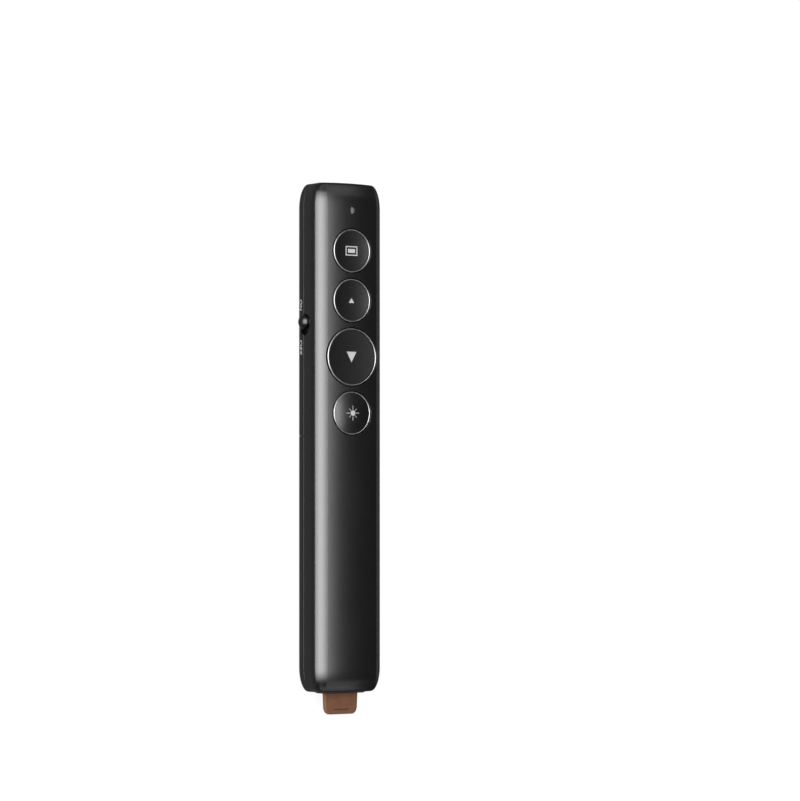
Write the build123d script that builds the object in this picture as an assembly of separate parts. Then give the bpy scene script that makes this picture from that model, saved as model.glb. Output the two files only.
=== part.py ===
from build123d import *
import math
import os

# Wireless presentation clicker, lying on its back. Millimetres.
# X runs across (-X is the side with the power switch), Y along (nose at +Y), Z up through the buttons.
# The origin is the middle of the flat back face.

# ---- housing ----
WIDTH = 23.6
THICKNESS = 13.6
CORNER_RADIUS = 4.0
CROWN_RADIUS = 70.0          # slight arch across the button face
END_ROUND_LENGTH = 7.4       # the ends are quarter ellipses: this long ...
END_ROUND_DEPTH = 2.7        # ... and drawn in this far on every side
END_CROWN = 0.25             # bow of the end faces seen from above
WALL = 1.3
INNER_ROUND_DEPTH = 1.6      # the cavity's ends are drawn in less than the outside
SEAM_Z = 5.5                 # parting plane of front and rear covers
SEAM_GAP = 0.1               # open joint line between covers
REAR_SEAM_AHEAD = 1.05       # cross joint of the rear covers, ahead of the inner frame
LIP_THICKNESS = 0.6          # the front cover's lip reaches down inside the rear covers
LIP_HEIGHT = 1.0
LIP_CLEARANCE = 0.12
FIT = 0.15                   # clearance of parts dropped into the housing
RUNNING = 0.05               # clearance of sliding parts
TOUCH = 0.02                 # clearance of parts pushed together by hand

# ---- buttons ----
SMALL_HOLE_RADIUS = 6.7
LARGE_HOLE_RADIUS = 8.8
SCREEN_FROM_NOSE = 20.1
SCREEN_WEB = 1.2             # cover left between one hole and the next, towards the tail
PAGE_UP_WEB = 1.15
PAGE_DOWN_WEB = 1.05
BUTTON_GAP = 0.4             # open ring between cap and cover
RIM_BELOW_CROWN = 0.18       # rim of a cap below the highest line of the cover
DISH_DEPTH = 0.3
SHALLOW_DISH_DEPTH = 0.25
DOME_HEIGHT = 0.55
TRIM_WIDTH = 0.25
TRIM_HEIGHT = 1.2
TRIM_PROUD = 0.04
COLLAR_WALL = 0.8
COLLAR_DEPTH = 1.4           # collar below the cover's inner surface
FLANGE_WIDTH = 0.4           # reach of a cap's flange under its collar
FLANGE_HEIGHT = 0.6
CAP_SKIRT = 0.9
CAP_THICKNESS = 1.7
STEM_RADIUS = 1.6
KEY_WIDTH = 1.2
KEY_HEIGHT = 0.8
KEY_REACH = 0.55
PRESS_TRAVEL = 0.4

# ---- board, tact switches and the parts on the board ----
BOARD_TOP_Z = 7.6
BOARD_THICKNESS = 1.0
BOARD_EDGE_GAP = 0.45        # between board and snap hooks
BOARD_REAR_CLEARANCE = 1.25  # behind the inner frame's front wall
BOARD_FROM_NOSE = 5.4
BOARD_CORNER = 1.5
TACT_SIZE = 6.0
TACT_HEIGHT = 1.8
TACT_CORNER = 0.5
PLUNGER_RADIUS = 1.7
PLUNGER_PROUD = 0.6
PLUNGER_SUNK = 0.4
CHIP_SIZE = 4.0
CHIP_HEIGHT = 0.85
PARTS_FROM_EDGE = 4.6        # middle of the chip and of the coil, from the board's edge
CRYSTAL_SIZE = (3.2, 2.5, 0.8)
CRYSTAL_FROM_CHIP = 5.2
COIL_RADIUS = 2.2
COIL_HEIGHT = 1.8
COIL_FLANGE = 0.4
COIL_WAIST_RADIUS = 1.5
COIL_AHEAD = 5.1             # ahead of the laser button

# ---- lamp ----
LAMP_FROM_NOSE = 8.2
LAMP_SLOT = (1.15, 2.0)
LAMP_SIZE = (1.6, 0.8, 0.6)
PIPE_SUNK = 0.2
PIPE_FLANGE = 0.6
PIPE_FLANGE_HEIGHT = 0.6
PIPE_LAMP_GAP = 0.3

# ---- laser ----
LASER_Z = 3.9
APERTURE_RADIUS = 1.0
WINDOW_RADIUS = 1.4
WINDOW_THICKNESS = 0.7
BARREL_RADIUS = 2.4
BARREL_BORE = 1.8
BARREL_FROM_NOSE = 3.6
BARREL_LENGTH = 9.0
LENS_BULGE = 0.35
LENS_EDGE = 0.7
LENS_INSET = 0.8
DRIVER_SIZE = (3.4, 7.5, 0.8)
DRIVER_INSERT = 2.5
SADDLE_WIDTH = 6.6
SADDLE_THICKNESS = 1.2
SADDLES_BEHIND_BARREL_END = (7.2, 2.4)

# ---- power switch ----
KNOB_RADIUS = 2.15
KNOB_PROUD = 1.75
KNOB_DOME = 1.1
KNOB_ON_FROM_NOSE = 41.0
SWITCH_Z = 5.9
SWITCH_TRAVEL = 1.65
SLOT_END_CLEARANCE = 0.15
SLOT_SIDE_CLEARANCE = 0.2
SLIDE_PLATE = (0.8, 8.6, 5.8)
SLIDE_PLATE_Z = 6.6
ACTUATOR = (1.3, 1.0)        # along Y, along Z
ACTUATOR_INSERT = 0.6
SWITCH_CASE = (3.6, 8.6, 2.0)
SWITCH_CASE_GAP = 0.85       # behind the slide plate

# ---- cell and contacts ----
CELL_RADIUS = 5.25
CELL_LENGTH = 43.5
CELL_NUB_RADIUS = 1.9
CELL_NUB_HEIGHT = 1.0
CELL_SHOULDER = 0.5
SLEEVE_THICKNESS = 0.15
CELL_FRONT_CLEARANCE = 0.15
CONTACT_THICKNESS = 0.3
CONTACT_SIZE = 8.0
CONTACT_TAB = (3.0, 3.4)
SPRING_LENGTH = 3.4
SPRING_WIRE_RADIUS = 0.25
SPRING_BASE_RADIUS = 3.3
SPRING_CONE = -24.0
SPRING_TURNS = 3.0
SPRING_WIRE_SIDES = 6        # the wire is a fine hexagon
STRIP_HEIGHT = 2.0
STRIP_THICKNESS = 0.2

# ---- inner frame ----
FRAME_WALL = 1.0
FRAME_BOTTOM_Z = 2.6
CRADLE_TOP_Z = 11.2
CROSS_WALL = 1.2
DECK_Z = (5.9, 7.1)
LEDGE_REACH = 0.65
LEDGE_HEIGHT = 0.8
RIB_THICKNESS = 0.8
RIB_PITCH = 8.0
RIB_COUNT = 6

# ---- battery cover ----
RAIL_REACH = 1.15
RAIL_HEIGHT = 0.7
TONGUE_WIDTH = 14.0
TONGUE_LENGTH = 2.5
TONGUE_THICKNESS = 0.6
GRIP_FROM_TAIL = 15.0
GRIP_WIDTH = 9.0
GRIP_GROOVE = 0.8
GRIP_DEPTH = 0.25
GRIP_PITCH = 1.8
GRIP_COUNT = 5

# ---- stowed receiver ----
RECEIVER_Z = 6.8
RECEIVER_PROUD = 0.3
CAP_WIDTH = 15.0
CAP_HEIGHT = 5.6
CAP_LENGTH = 7.6
CAP_CORNER = 1.3
CAP_EDGE = 0.5
CAP_RECESS = 2.0
CAP_CLEARANCE = 0.25
PLUG_WIDTH = 12.0
PLUG_HEIGHT = 4.5
PLUG_WALL = 0.3
PLUG_LENGTH = 12.5           # beyond the cap
PLUG_CORNER = 0.5
PLUG_WINDOW = 2.2
PLUG_WINDOW_AT = (2.9, 5.2)  # off centre, and behind the plug's tip
PLUG_CLEARANCE = 0.2
PLUG_TIP_CLEARANCE = 0.6
PLUG_ROOM = 4.05             # between the cell bay and the plug's tip
TONGUE_BLADE = (11.0, 1.8)
BLADE_SETBACK = 0.6
GOLD_COUNT = 4
GOLD_PITCH = 2.4
GOLD_SIZE = (1.2, 8.0, 0.15)
RECEIVER_BOARD = (9.0, 0.8)
SOCKET_WALL = 0.9
TAB_WIDTH = 11.6
TAB_END_WIDTH = 11.0
TAB_THICKNESS = 1.6
TAB_LENGTH = 6.3             # beyond the cap
TAB_ROOT = 3.0
TAB_CORNER = 1.8
TAB_EDGE = 0.35

# ---- screws ----
SCREW_RADIUS = 0.6
SCREW_HEAD_RADIUS = 1.1
SCREW_HEAD_HEIGHT = 0.8
SCREW_LENGTH = 3.6
BOSS_RADIUS = 1.2
BOARD_SCREW_INSET = 1.3      # from the board's edge
FRAME_SCREW_GAP = 0.1        # between a boss and the negative strip
FRAME_SCREW_INSET = 0.25     # between a boss and the frame's cross wall

# ---- snap hooks of the rear cover ----
HOOKS_FROM_NOSE = (15.0, 57.0)
HOOK_WIDTH = 4.0
HOOK_THICKNESS = 0.7
HOOK_BARB = 0.3
HOOK_BARB_HEIGHT = 0.8
HOOK_TOP_Z = 8.0
HOOK_FOOT_Z = 2.8

# ---- sizes that follow ----
HALF_WIDTH = WIDTH / 2
INNER_HALF_WIDTH = HALF_WIDTH - WALL
INNER_TOP_Z = THICKNESS - WALL
RIM_Z = THICKNESS - RIM_BELOW_CROWN
COLLAR_Z = INNER_TOP_Z - COLLAR_DEPTH
FLANGE_TOP_Z = COLLAR_Z - RUNNING
TACT_TOP_Z = BOARD_TOP_Z + TACT_HEIGHT
STEM_Z = TACT_TOP_Z + PLUNGER_PROUD
BOARD_BOTTOM_Z = BOARD_TOP_Z - BOARD_THICKNESS
CELL_Z = INNER_TOP_Z - CELL_FRONT_CLEARANCE - CELL_RADIUS
CRADLE_RADIUS = CELL_RADIUS + FIT
LEDGE_TOP_Z = FRAME_BOTTOM_Z + LEDGE_HEIGHT
RAIL_Z = LEDGE_TOP_Z + FIT
COVER_TOP_Z = SEAM_Z - SEAM_GAP

# The length is what stands in line from the nose to the tail: buttons, cell bay and stowed receiver.
PAGE_UP_PITCH = 2 * SMALL_HOLE_RADIUS + SCREEN_WEB
PAGE_DOWN_PITCH = SMALL_HOLE_RADIUS + LARGE_HOLE_RADIUS + PAGE_UP_WEB
LASER_PITCH = LARGE_HOLE_RADIUS + SMALL_HOLE_RADIUS + PAGE_DOWN_WEB
LASER_FROM_NOSE = SCREEN_FROM_NOSE + PAGE_UP_PITCH + PAGE_DOWN_PITCH + LASER_PITCH
FRAME_FROM_NOSE = LASER_FROM_NOSE + SMALL_HOLE_RADIUS + COLLAR_WALL + FIT
CELL_BAY = CROSS_WALL + 2 * CONTACT_THICKNESS + CELL_NUB_HEIGHT + CELL_LENGTH + SPRING_LENGTH
RECEIVER_BAY = CROSS_WALL + PLUG_ROOM + PLUG_LENGTH + CAP_LENGTH - RECEIVER_PROUD
LENGTH = FRAME_FROM_NOSE + CELL_BAY + RECEIVER_BAY
HALF_LENGTH = LENGTH / 2

SCREEN_Y = HALF_LENGTH - SCREEN_FROM_NOSE
PAGE_UP_Y = SCREEN_Y - PAGE_UP_PITCH
PAGE_DOWN_Y = PAGE_UP_Y - PAGE_DOWN_PITCH
LASER_Y = PAGE_DOWN_Y - LASER_PITCH
LAMP_Y = HALF_LENGTH - LAMP_FROM_NOSE
BARREL_NOSE_Y = HALF_LENGTH - BARREL_FROM_NOSE
SADDLE_STATIONS = [BARREL_NOSE_Y - behind for behind in SADDLES_BEHIND_BARREL_END]
KNOB_ON_Y = HALF_LENGTH - KNOB_ON_FROM_NOSE
HOOK_STATIONS = [HALF_LENGTH - from_nose for from_nose in HOOKS_FROM_NOSE]

FRAME_FRONT_Y = HALF_LENGTH - FRAME_FROM_NOSE
REAR_SEAM_Y = FRAME_FRONT_Y + REAR_SEAM_AHEAD
CONTACT_Y = FRAME_FRONT_Y - CROSS_WALL - CONTACT_THICKNESS
CELL_FRONT_Y = CONTACT_Y - CELL_NUB_HEIGHT
CELL_REAR_Y = CELL_FRONT_Y - CELL_LENGTH
PLATE_Y = CELL_REAR_Y - SPRING_LENGTH
BULKHEAD_Y = PLATE_Y - CONTACT_THICKNESS
FRAME_REAR_Y = -HALF_LENGTH + WALL + 3 * FIT
CAP_END_Y = -HALF_LENGTH - RECEIVER_PROUD
CAP_FRONT_Y = CAP_END_Y + CAP_LENGTH
PLUG_TIP_Y = CAP_FRONT_Y + PLUG_LENGTH
RAIL_TAIL_Y = CAP_FRONT_Y
GRIP_Y = -HALF_LENGTH + GRIP_FROM_TAIL

BOARD_REAR_Y = FRAME_FRONT_Y + BOARD_REAR_CLEARANCE
BOARD_NOSE_Y = HALF_LENGTH - BOARD_FROM_NOSE
BOARD_WIDTH = 2 * (INNER_HALF_WIDTH - FIT - HOOK_THICKNESS - BOARD_EDGE_GAP)
PARTS_X = BOARD_WIDTH / 2 - PARTS_FROM_EDGE
PARTS_Y = (PAGE_UP_Y + PAGE_DOWN_Y) / 2 + 0.5   # chip and crystal stand between two switches
SKIRT_OUTER_X = INNER_HALF_WIDTH - RAIL_REACH - FIT
SKIRT_INNER_X = SKIRT_OUTER_X - FRAME_WALL
SWITCH_CASE_OUTER_X = -INNER_HALF_WIDTH + FIT + SLIDE_PLATE[0] + SWITCH_CASE_GAP
BOARD_SCREW_X = BOARD_WIDTH / 2 - BOARD_SCREW_INSET
BOARD_SCREW_YS = [
    (LASER_Y + SMALL_HOLE_RADIUS + PAGE_DOWN_Y - LARGE_HOLE_RADIUS) / 2,
    (PAGE_UP_Y + SCREEN_Y) / 2,
]
BOARD_SCREWS_AT = [(side * BOARD_SCREW_X, y) for y in BOARD_SCREW_YS for side in (-1, 1)]
FRAME_SCREW_X = CRADLE_RADIUS + FRAME_WALL + STRIP_THICKNESS + FRAME_SCREW_GAP + BOSS_RADIUS
FRAME_SCREW_BEHIND = CROSS_WALL + FRAME_SCREW_INSET + BOSS_RADIUS
FRAME_SCREW_YS = [BULKHEAD_Y - FRAME_SCREW_BEHIND, FRAME_FRONT_Y - FRAME_SCREW_BEHIND]
FRAME_SCREWS_AT = [(side * FRAME_SCREW_X, y) for y in FRAME_SCREW_YS for side in (-1, 1)]
FAR = LENGTH                 # larger than anything that is cut away

BUTTONS = [
    ("screen", SCREEN_Y, SMALL_HOLE_RADIUS, -DISH_DEPTH),
    ("page_up", PAGE_UP_Y, SMALL_HOLE_RADIUS, -DISH_DEPTH),
    ("page_down", PAGE_DOWN_Y, LARGE_HOLE_RADIUS, -SHALLOW_DISH_DEPTH),
    ("laser", LASER_Y, SMALL_HOLE_RADIUS, DOME_HEIGHT),
]


# ---- basic shapes ----
def block(x, y, z):
    """Box between three (low, high) pairs."""
    size = [high - low for low, high in (x, y, z)]
    centre = [(low + high) / 2 for low, high in (x, y, z)]
    return Pos(*centre) * Box(*size)


def post(radius, x, y, z):
    """Upright cylinder between the (low, high) pair z."""
    return Pos(x, y, (z[0] + z[1]) / 2) * Cylinder(radius, z[1] - z[0])


def bar(radius, x, z, y):
    """Cylinder along Y between the (low, high) pair y."""
    return Pos(x, (y[0] + y[1]) / 2, z) * Rot(90, 0, 0) * Cylinder(radius, y[1] - y[0])


def flat_bar(width, height, corner, z, y):
    """Bar of rounded oblong section along Y, centred on the height z."""
    outline = Pos(0, y[0], z) * Rot(-90, 0, 0) * RectangleRounded(width, height, corner)
    return extrude(outline, amount=y[1] - y[0], dir=(0, 1, 0))


def turned(outline, x=0.0, y=0.0):
    """Solid of revolution about an upright axis, from edges drawn in the XZ plane."""
    return Pos(x, y, 0) * revolve(Face(Wire(outline)), Axis.Z)


def chain(*points):
    """Straight edges from point to point in the XZ plane."""
    placed = [(radius, 0, z) for radius, z in points]
    return [Edge.make_line(a, b) for a, b in zip(placed, placed[1:])]


def dome_arc(radius, rim_z, bulge):
    """Arc from the axis out to (radius, rim_z) that crosses the axis level, bulge above the rim."""
    ball = (radius**2 + bulge**2) / (2 * bulge)
    half_turn = math.asin(radius / ball) / 2
    middle = (ball * math.sin(half_turn), 0, rim_z + bulge - ball * (1 - math.cos(half_turn)))
    return Edge.make_three_point_arc((0, 0, rim_z + bulge), middle, (radius, 0, rim_z))


# ---- housing form ----
def housing_section(y, inset):
    """Closed section of the housing at station y, with every side moved in by inset."""
    corner = CORNER_RADIUS - inset
    centre_x = HALF_WIDTH - CORNER_RADIUS
    arch = CROWN_RADIUS - CORNER_RADIUS
    tilt = math.asin(centre_x / arch)
    high_z = THICKNESS - CROWN_RADIUS + arch * math.cos(tilt)

    def on_corner(side, centre_z, angle):
        return (side * (centre_x + corner * math.sin(angle)), y, centre_z + corner * math.cos(angle))

    right_angle = math.pi / 2
    edges = [Edge.make_line((-centre_x, y, inset), (centre_x, y, inset))]
    for side in (1, -1):
        foot, mid_low, low = [on_corner(side, CORNER_RADIUS, turn * right_angle) for turn in (2, 1.5, 1)]
        high = on_corner(side, high_z, right_angle)
        mid_high = on_corner(side, high_z, (right_angle + tilt) / 2)
        shoulder = on_corner(side, high_z, tilt)
        edges.append(Edge.make_three_point_arc(foot, mid_low, low))
        edges.append(Edge.make_line(low, high))
        edges.append(Edge.make_three_point_arc(high, mid_high, shoulder))
    left, right = [on_corner(side, high_z, tilt) for side in (-1, 1)]
    edges.append(Edge.make_three_point_arc(left, (0, y, THICKNESS - inset), right))
    return Face(Wire(edges))


def housing(inset=0.0, round_depth=END_ROUND_DEPTH, steps=6, straight=False):
    """Whole housing form with elliptical ends, or a form that lies inset inside it."""
    start = HALF_LENGTH - END_ROUND_LENGTH
    run = END_ROUND_LENGTH - inset
    sections = []
    for step in range(steps + 1):
        turn = math.radians(90 * step / steps)
        drawn_in = round_depth * (1 - math.cos(turn))
        sections.append(housing_section(start + run * math.sin(turn), inset + drawn_in))
    nose = loft(sections, ruled=straight)
    middle = extrude(housing_section(-start, inset), amount=2 * start, dir=(0, 1, 0))
    return middle + nose + mirror(nose, Plane.XZ)


def bowed_ends():
    """Tall block whose two ends are bowed like the end faces of the housing."""
    edges = []
    for side in (1, -1):
        corner_y = side * (HALF_LENGTH - END_CROWN)
        edges.append(Edge.make_line((side * HALF_WIDTH, -corner_y, 0), (side * HALF_WIDTH, corner_y, 0)))
        ends = [(side * HALF_WIDTH, corner_y, 0), (-side * HALF_WIDTH, corner_y, 0)]
        edges.append(Edge.make_three_point_arc(ends[0], (0, side * HALF_LENGTH, 0), ends[1]))
    return extrude(Face(Wire(edges)), amount=THICKNESS)


def inner_form(inset, round_depth=INNER_ROUND_DEPTH):
    """Form inside the walls, with plain straight tapers for the hidden ends."""
    return housing(inset, round_depth, steps=2, straight=True)


OUTSIDE = housing() & bowed_ends()
CAVITY = inner_form(WALL)
LIP_OUTSIDE = inner_form(WALL - LIP_THICKNESS, INNER_ROUND_DEPTH + LIP_THICKNESS / 2)
REBATE = inner_form(WALL - LIP_THICKNESS - LIP_CLEARANCE, INNER_ROUND_DEPTH + LIP_THICKNESS / 2)
INSERT_SPACE = inner_form(WALL + FIT)
ABOVE_SEAM = block((-FAR, FAR), (-FAR, FAR), (SEAM_Z, FAR))
BELOW_SEAM = block((-FAR, FAR), (-FAR, FAR), (-FAR, COVER_TOP_Z))


def lamp_slot(clearance=0.0):
    """Upright oblong through the cover for the light pipe."""
    width, length = [size - 2 * clearance for size in LAMP_SLOT]
    outline = Pos(0, LAMP_Y, 0) * Rot(0, 0, 90) * SlotOverall(length, width)
    return extrude(outline, amount=THICKNESS)


def switch_slot():
    """Oblong through the left wall in which the knob slides."""
    length = 2 * KNOB_RADIUS + SWITCH_TRAVEL + 2 * SLOT_END_CLEARANCE
    width = 2 * (KNOB_RADIUS + SLOT_SIDE_CLEARANCE)
    outline = Rot(0, -90, 0) * Rot(0, 0, 90) * SlotOverall(length, width)
    placed = Pos(-INNER_HALF_WIDTH + FIT, KNOB_ON_Y - SWITCH_TRAVEL / 2, SWITCH_Z) * outline
    return extrude(placed, amount=WALL + 1, dir=(-1, 0, 0))


def receiver_opening():
    """Opening in the tail through which the receiver's cap shows."""
    grow = 2 * CAP_CLEARANCE
    size = (CAP_WIDTH + grow, CAP_HEIGHT + grow, CAP_CORNER + CAP_CLEARANCE)
    return flat_bar(*size, RECEIVER_Z, (-HALF_LENGTH - 1, FRAME_REAR_Y))


# ---- covers ----
def front_cover():
    cover = (OUTSIDE & ABOVE_SEAM) - CAVITY
    lip = (LIP_OUTSIDE - CAVITY) & block((-FAR, FAR), (-FAR, FAR), (SEAM_Z - LIP_HEIGHT, SEAM_Z))
    cover += lip - bar(BARREL_RADIUS + FIT, 0, LASER_Z, (BARREL_NOSE_Y - 1, HALF_LENGTH))
    for _, y, hole, _ in BUTTONS:
        cover += post(hole + COLLAR_WALL, 0, y, (COLLAR_Z, INNER_TOP_Z)) & OUTSIDE
    for x, y in BOARD_SCREWS_AT:
        cover += post(BOSS_RADIUS, x, y, (BOARD_TOP_Z, INNER_TOP_Z)) & OUTSIDE
    for x, y in FRAME_SCREWS_AT:
        cover += post(BOSS_RADIUS, x, y, (DECK_Z[1], INNER_TOP_Z)) & OUTSIDE
    for _, y, hole, _ in BUTTONS:
        cover -= post(hole, 0, y, (COLLAR_Z - 1, FAR))
        cover -= key_shape(hole, y, FIT)
    for x, y in BOARD_SCREWS_AT:
        cover -= post(SCREW_RADIUS + TOUCH, x, y, (0, BOARD_TOP_Z + SCREW_LENGTH))
    for x, y in FRAME_SCREWS_AT:
        cover -= post(SCREW_RADIUS + TOUCH, x, y, (0, DECK_Z[1] + SCREW_LENGTH))
    for side in (-1, 1):
        for y in HOOK_STATIONS:
            cover -= hook_barb(side, y, FIT)
    cover -= lamp_slot()
    cover -= switch_slot()
    return cover - receiver_opening()


def hook_barb(side, y, clearance=0.0):
    """Barb on top of a snap hook, or with clearance the pocket that it enters."""
    reach = sorted((side * (INNER_HALF_WIDTH - FIT - 0.1), side * (INNER_HALF_WIDTH + HOOK_BARB + clearance)))
    half = HOOK_WIDTH / 2 + clearance
    return block(reach, (y - half, y + half), (HOOK_TOP_Z - HOOK_BARB_HEIGHT - clearance, HOOK_TOP_Z + clearance))


def snap_hook(side, y):
    """Springy hook that rises from the rear cover's wall into the front cover."""
    inner = INNER_HALF_WIDTH - FIT - HOOK_THICKNESS
    half = HOOK_WIDTH / 2
    blade_x = sorted((side * inner, side * (INNER_HALF_WIDTH - FIT)))
    foot_x = sorted((side * inner, side * (INNER_HALF_WIDTH + 0.2)))
    foot_top = SEAM_Z - LIP_HEIGHT - FIT
    hook = block(blade_x, (y - half, y + half), (HOOK_FOOT_Z, HOOK_TOP_Z))
    hook += block(foot_x, (y - half, y + half), (HOOK_FOOT_Z, foot_top))
    return hook + hook_barb(side, y)


def rear_shell(y):
    """Stretch of the rear covers between the (low, high) pair y, rebated for the lip."""
    shell = (OUTSIDE & BELOW_SEAM & block((-FAR, FAR), y, (-FAR, FAR))) - CAVITY
    rebate = REBATE & block((-FAR, FAR), (-FAR, FAR), (SEAM_Z - LIP_HEIGHT - SEAM_GAP, SEAM_Z))
    return shell - rebate


def rear_cover():
    cover = rear_shell((REAR_SEAM_Y, FAR))
    for y in SADDLE_STATIONS:
        span = (y - SADDLE_THICKNESS / 2, y + SADDLE_THICKNESS / 2)
        saddle = block((-SADDLE_WIDTH / 2, SADDLE_WIDTH / 2), span, (WALL / 2, LASER_Z))
        cover += saddle & OUTSIDE
    cover -= bar(BARREL_RADIUS + TOUCH, 0, LASER_Z, (SADDLE_STATIONS[0] - SADDLE_THICKNESS, BARREL_NOSE_Y + FIT))
    for side in (-1, 1):
        for y in HOOK_STATIONS:
            cover += snap_hook(side, y)
    half = TONGUE_WIDTH / 2 + FIT
    pocket_y = (REAR_SEAM_Y - 1, REAR_SEAM_Y + TONGUE_LENGTH + FIT)
    cover -= block((-half, half), pocket_y, (WALL - TONGUE_THICKNESS - FIT / 2, WALL + 1))
    cover -= switch_slot()
    cover -= bar(APERTURE_RADIUS, 0, LASER_Z, (BARREL_NOSE_Y, HALF_LENGTH + 1))
    seat_y = HALF_LENGTH - WALL + WINDOW_THICKNESS
    return cover - bar(WINDOW_RADIUS + TOUCH, 0, LASER_Z, (BARREL_NOSE_Y, seat_y))


def battery_cover():
    front_y = REAR_SEAM_Y - SEAM_GAP
    cover = rear_shell((-FAR, front_y))
    half = TONGUE_WIDTH / 2
    tongue_y = (front_y - 2, front_y + TONGUE_LENGTH)
    cover += block((-half, half), tongue_y, (WALL - TONGUE_THICKNESS, WALL))
    for side in (-1, 1):
        reach = sorted((side * (INNER_HALF_WIDTH - RAIL_REACH), side * (INNER_HALF_WIDTH + 0.2)))
        cover += block(reach, (RAIL_TAIL_Y, front_y - 1), (RAIL_Z, RAIL_Z + RAIL_HEIGHT))
    for step in range(GRIP_COUNT):
        y = GRIP_Y + step * GRIP_PITCH
        groove = SlotOverall(GRIP_WIDTH, GRIP_GROOVE)
        cover -= extrude(Pos(0, y, 0) * groove, amount=GRIP_DEPTH)
    return cover - receiver_opening()


# ---- buttons ----
def key_shape(hole, y, clearance=0.0):
    """Rib that stops a cap from turning, or with clearance the notch in the collar for it."""
    start = hole - BUTTON_GAP - 0.2
    half = KEY_WIDTH / 2 + clearance
    x = (start, hole - BUTTON_GAP + KEY_REACH + clearance)
    return block(x, (y - half, y + half), (FLANGE_TOP_Z - 0.1, FLANGE_TOP_Z + KEY_HEIGHT + clearance))


def button_cap(y, hole, bulge):
    """Cap with a dished or domed top, a skirt, a flange under the collar and a stem on the switch."""
    outer = hole - BUTTON_GAP
    seat = outer - TRIM_WIDTH
    flange = hole + FLANGE_WIDTH
    skirt_z = RIM_Z - TRIM_PROUD
    step_z = RIM_Z - TRIM_HEIGHT
    flange_z = FLANGE_TOP_Z - FLANGE_HEIGHT
    under_z = RIM_Z - CAP_THICKNESS
    inner = outer - CAP_SKIRT
    outline = [dome_arc(seat, skirt_z, bulge)]
    outline += chain(
        (seat, skirt_z), (seat, step_z), (outer, step_z), (outer, FLANGE_TOP_Z), (flange, FLANGE_TOP_Z),
        (flange, flange_z), (inner, flange_z), (inner, under_z), (STEM_RADIUS, under_z),
        (STEM_RADIUS, STEM_Z), (0, STEM_Z), (0, skirt_z + bulge),
    )
    return turned(outline, 0, y) + key_shape(hole, y)


def trim_ring(y, hole):
    """Thin bright ring round the edge of a cap, with its outer corner cut at 45 degrees."""
    outer = hole - BUTTON_GAP
    inner = outer - TRIM_WIDTH
    cut = TRIM_WIDTH * 0.7
    low_z = RIM_Z - TRIM_HEIGHT
    outline = chain(
        (inner, low_z), (outer, low_z), (outer, RIM_Z - cut), (outer - cut, RIM_Z), (inner, RIM_Z), (inner, low_z)
    )
    return turned(outline, 0, y)


def switch_base(y):
    """Square case of a tact switch with the well that its plunger moves in."""
    half = TACT_SIZE / 2
    case = block((-half, half), (y - half, y + half), (BOARD_TOP_Z, TACT_TOP_Z))
    case = fillet(case.edges().filter_by(Axis.Z), TACT_CORNER)
    well_z = TACT_TOP_Z - PLUNGER_SUNK - PRESS_TRAVEL - RUNNING
    return case - post(PLUNGER_RADIUS + RUNNING, 0, y, (well_z, TACT_TOP_Z + 1))


def switch_plunger(y):
    return post(PLUNGER_RADIUS, 0, y, (TACT_TOP_Z - PLUNGER_SUNK, STEM_Z))


# ---- board and what stands on it ----
def main_board():
    middle = (BOARD_REAR_Y + BOARD_NOSE_Y) / 2
    outline = Pos(0, middle, 0) * RectangleRounded(BOARD_WIDTH, BOARD_NOSE_Y - BOARD_REAR_Y, BOARD_CORNER)
    board = extrude(Pos(0, 0, BOARD_BOTTOM_Z) * outline, amount=BOARD_THICKNESS)
    for x, y in BOARD_SCREWS_AT:
        board -= post(SCREW_RADIUS + FIT, x, y, (0, FAR))
    return board


def on_board(size, x, y):
    """Small block soldered on top of the board."""
    spans = [(x - size[0] / 2, x + size[0] / 2), (y - size[1] / 2, y + size[1] / 2)]
    return block(*spans, (BOARD_TOP_Z, BOARD_TOP_Z + size[2]))


def step_up_coil():
    """Drum core under the board: two flanges and a waist of wire."""
    y = LASER_Y + COIL_AHEAD
    top = BOARD_BOTTOM_Z
    bottom = top - COIL_HEIGHT
    coil = post(COIL_RADIUS, PARTS_X, y, (top - COIL_FLANGE, top))
    coil += post(COIL_WAIST_RADIUS, PARTS_X, y, (bottom, top))
    return coil + post(COIL_RADIUS, PARTS_X, y, (bottom, bottom + COIL_FLANGE))


def light_pipe():
    width, length = LAMP_SLOT
    flange_top = INNER_TOP_Z
    flange = block(
        (-width / 2 - PIPE_FLANGE, width / 2 + PIPE_FLANGE),
        (LAMP_Y - length / 2 - PIPE_FLANGE, LAMP_Y + length / 2 + PIPE_FLANGE),
        (flange_top - PIPE_FLANGE_HEIGHT, flange_top),
    )
    foot_z = BOARD_TOP_Z + LAMP_SIZE[2] + PIPE_LAMP_GAP
    pipe = lamp_slot(RUNNING) & block((-FAR, FAR), (-FAR, FAR), (foot_z, THICKNESS - PIPE_SUNK))
    return pipe + (flange & CAVITY)


# ---- laser ----
def laser_barrel():
    rear_y = BARREL_NOSE_Y - BARREL_LENGTH
    barrel = bar(BARREL_RADIUS, 0, LASER_Z, (rear_y, BARREL_NOSE_Y))
    barrel -= bar(BARREL_BORE, 0, LASER_Z, (rear_y - 1, BARREL_NOSE_Y - LENS_INSET))
    return barrel - bar(APERTURE_RADIUS, 0, LASER_Z, (rear_y, BARREL_NOSE_Y + 1))


def laser_lens():
    """Lens with two bulged faces, turned so that it looks along the barrel."""
    radius = BARREL_BORE - TOUCH
    edge = LENS_EDGE / 2
    front = dome_arc(radius, edge, LENS_BULGE)
    back = dome_arc(radius, -edge, -LENS_BULGE)
    outline = [front, back] + chain((radius, edge), (radius, -edge))
    outline += chain((0, edge + LENS_BULGE), (0, -edge - LENS_BULGE))
    y = BARREL_NOSE_Y - LENS_INSET - edge - LENS_BULGE - TOUCH
    return Pos(0, y, LASER_Z) * Rot(90, 0, 0) * turned(outline)


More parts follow.
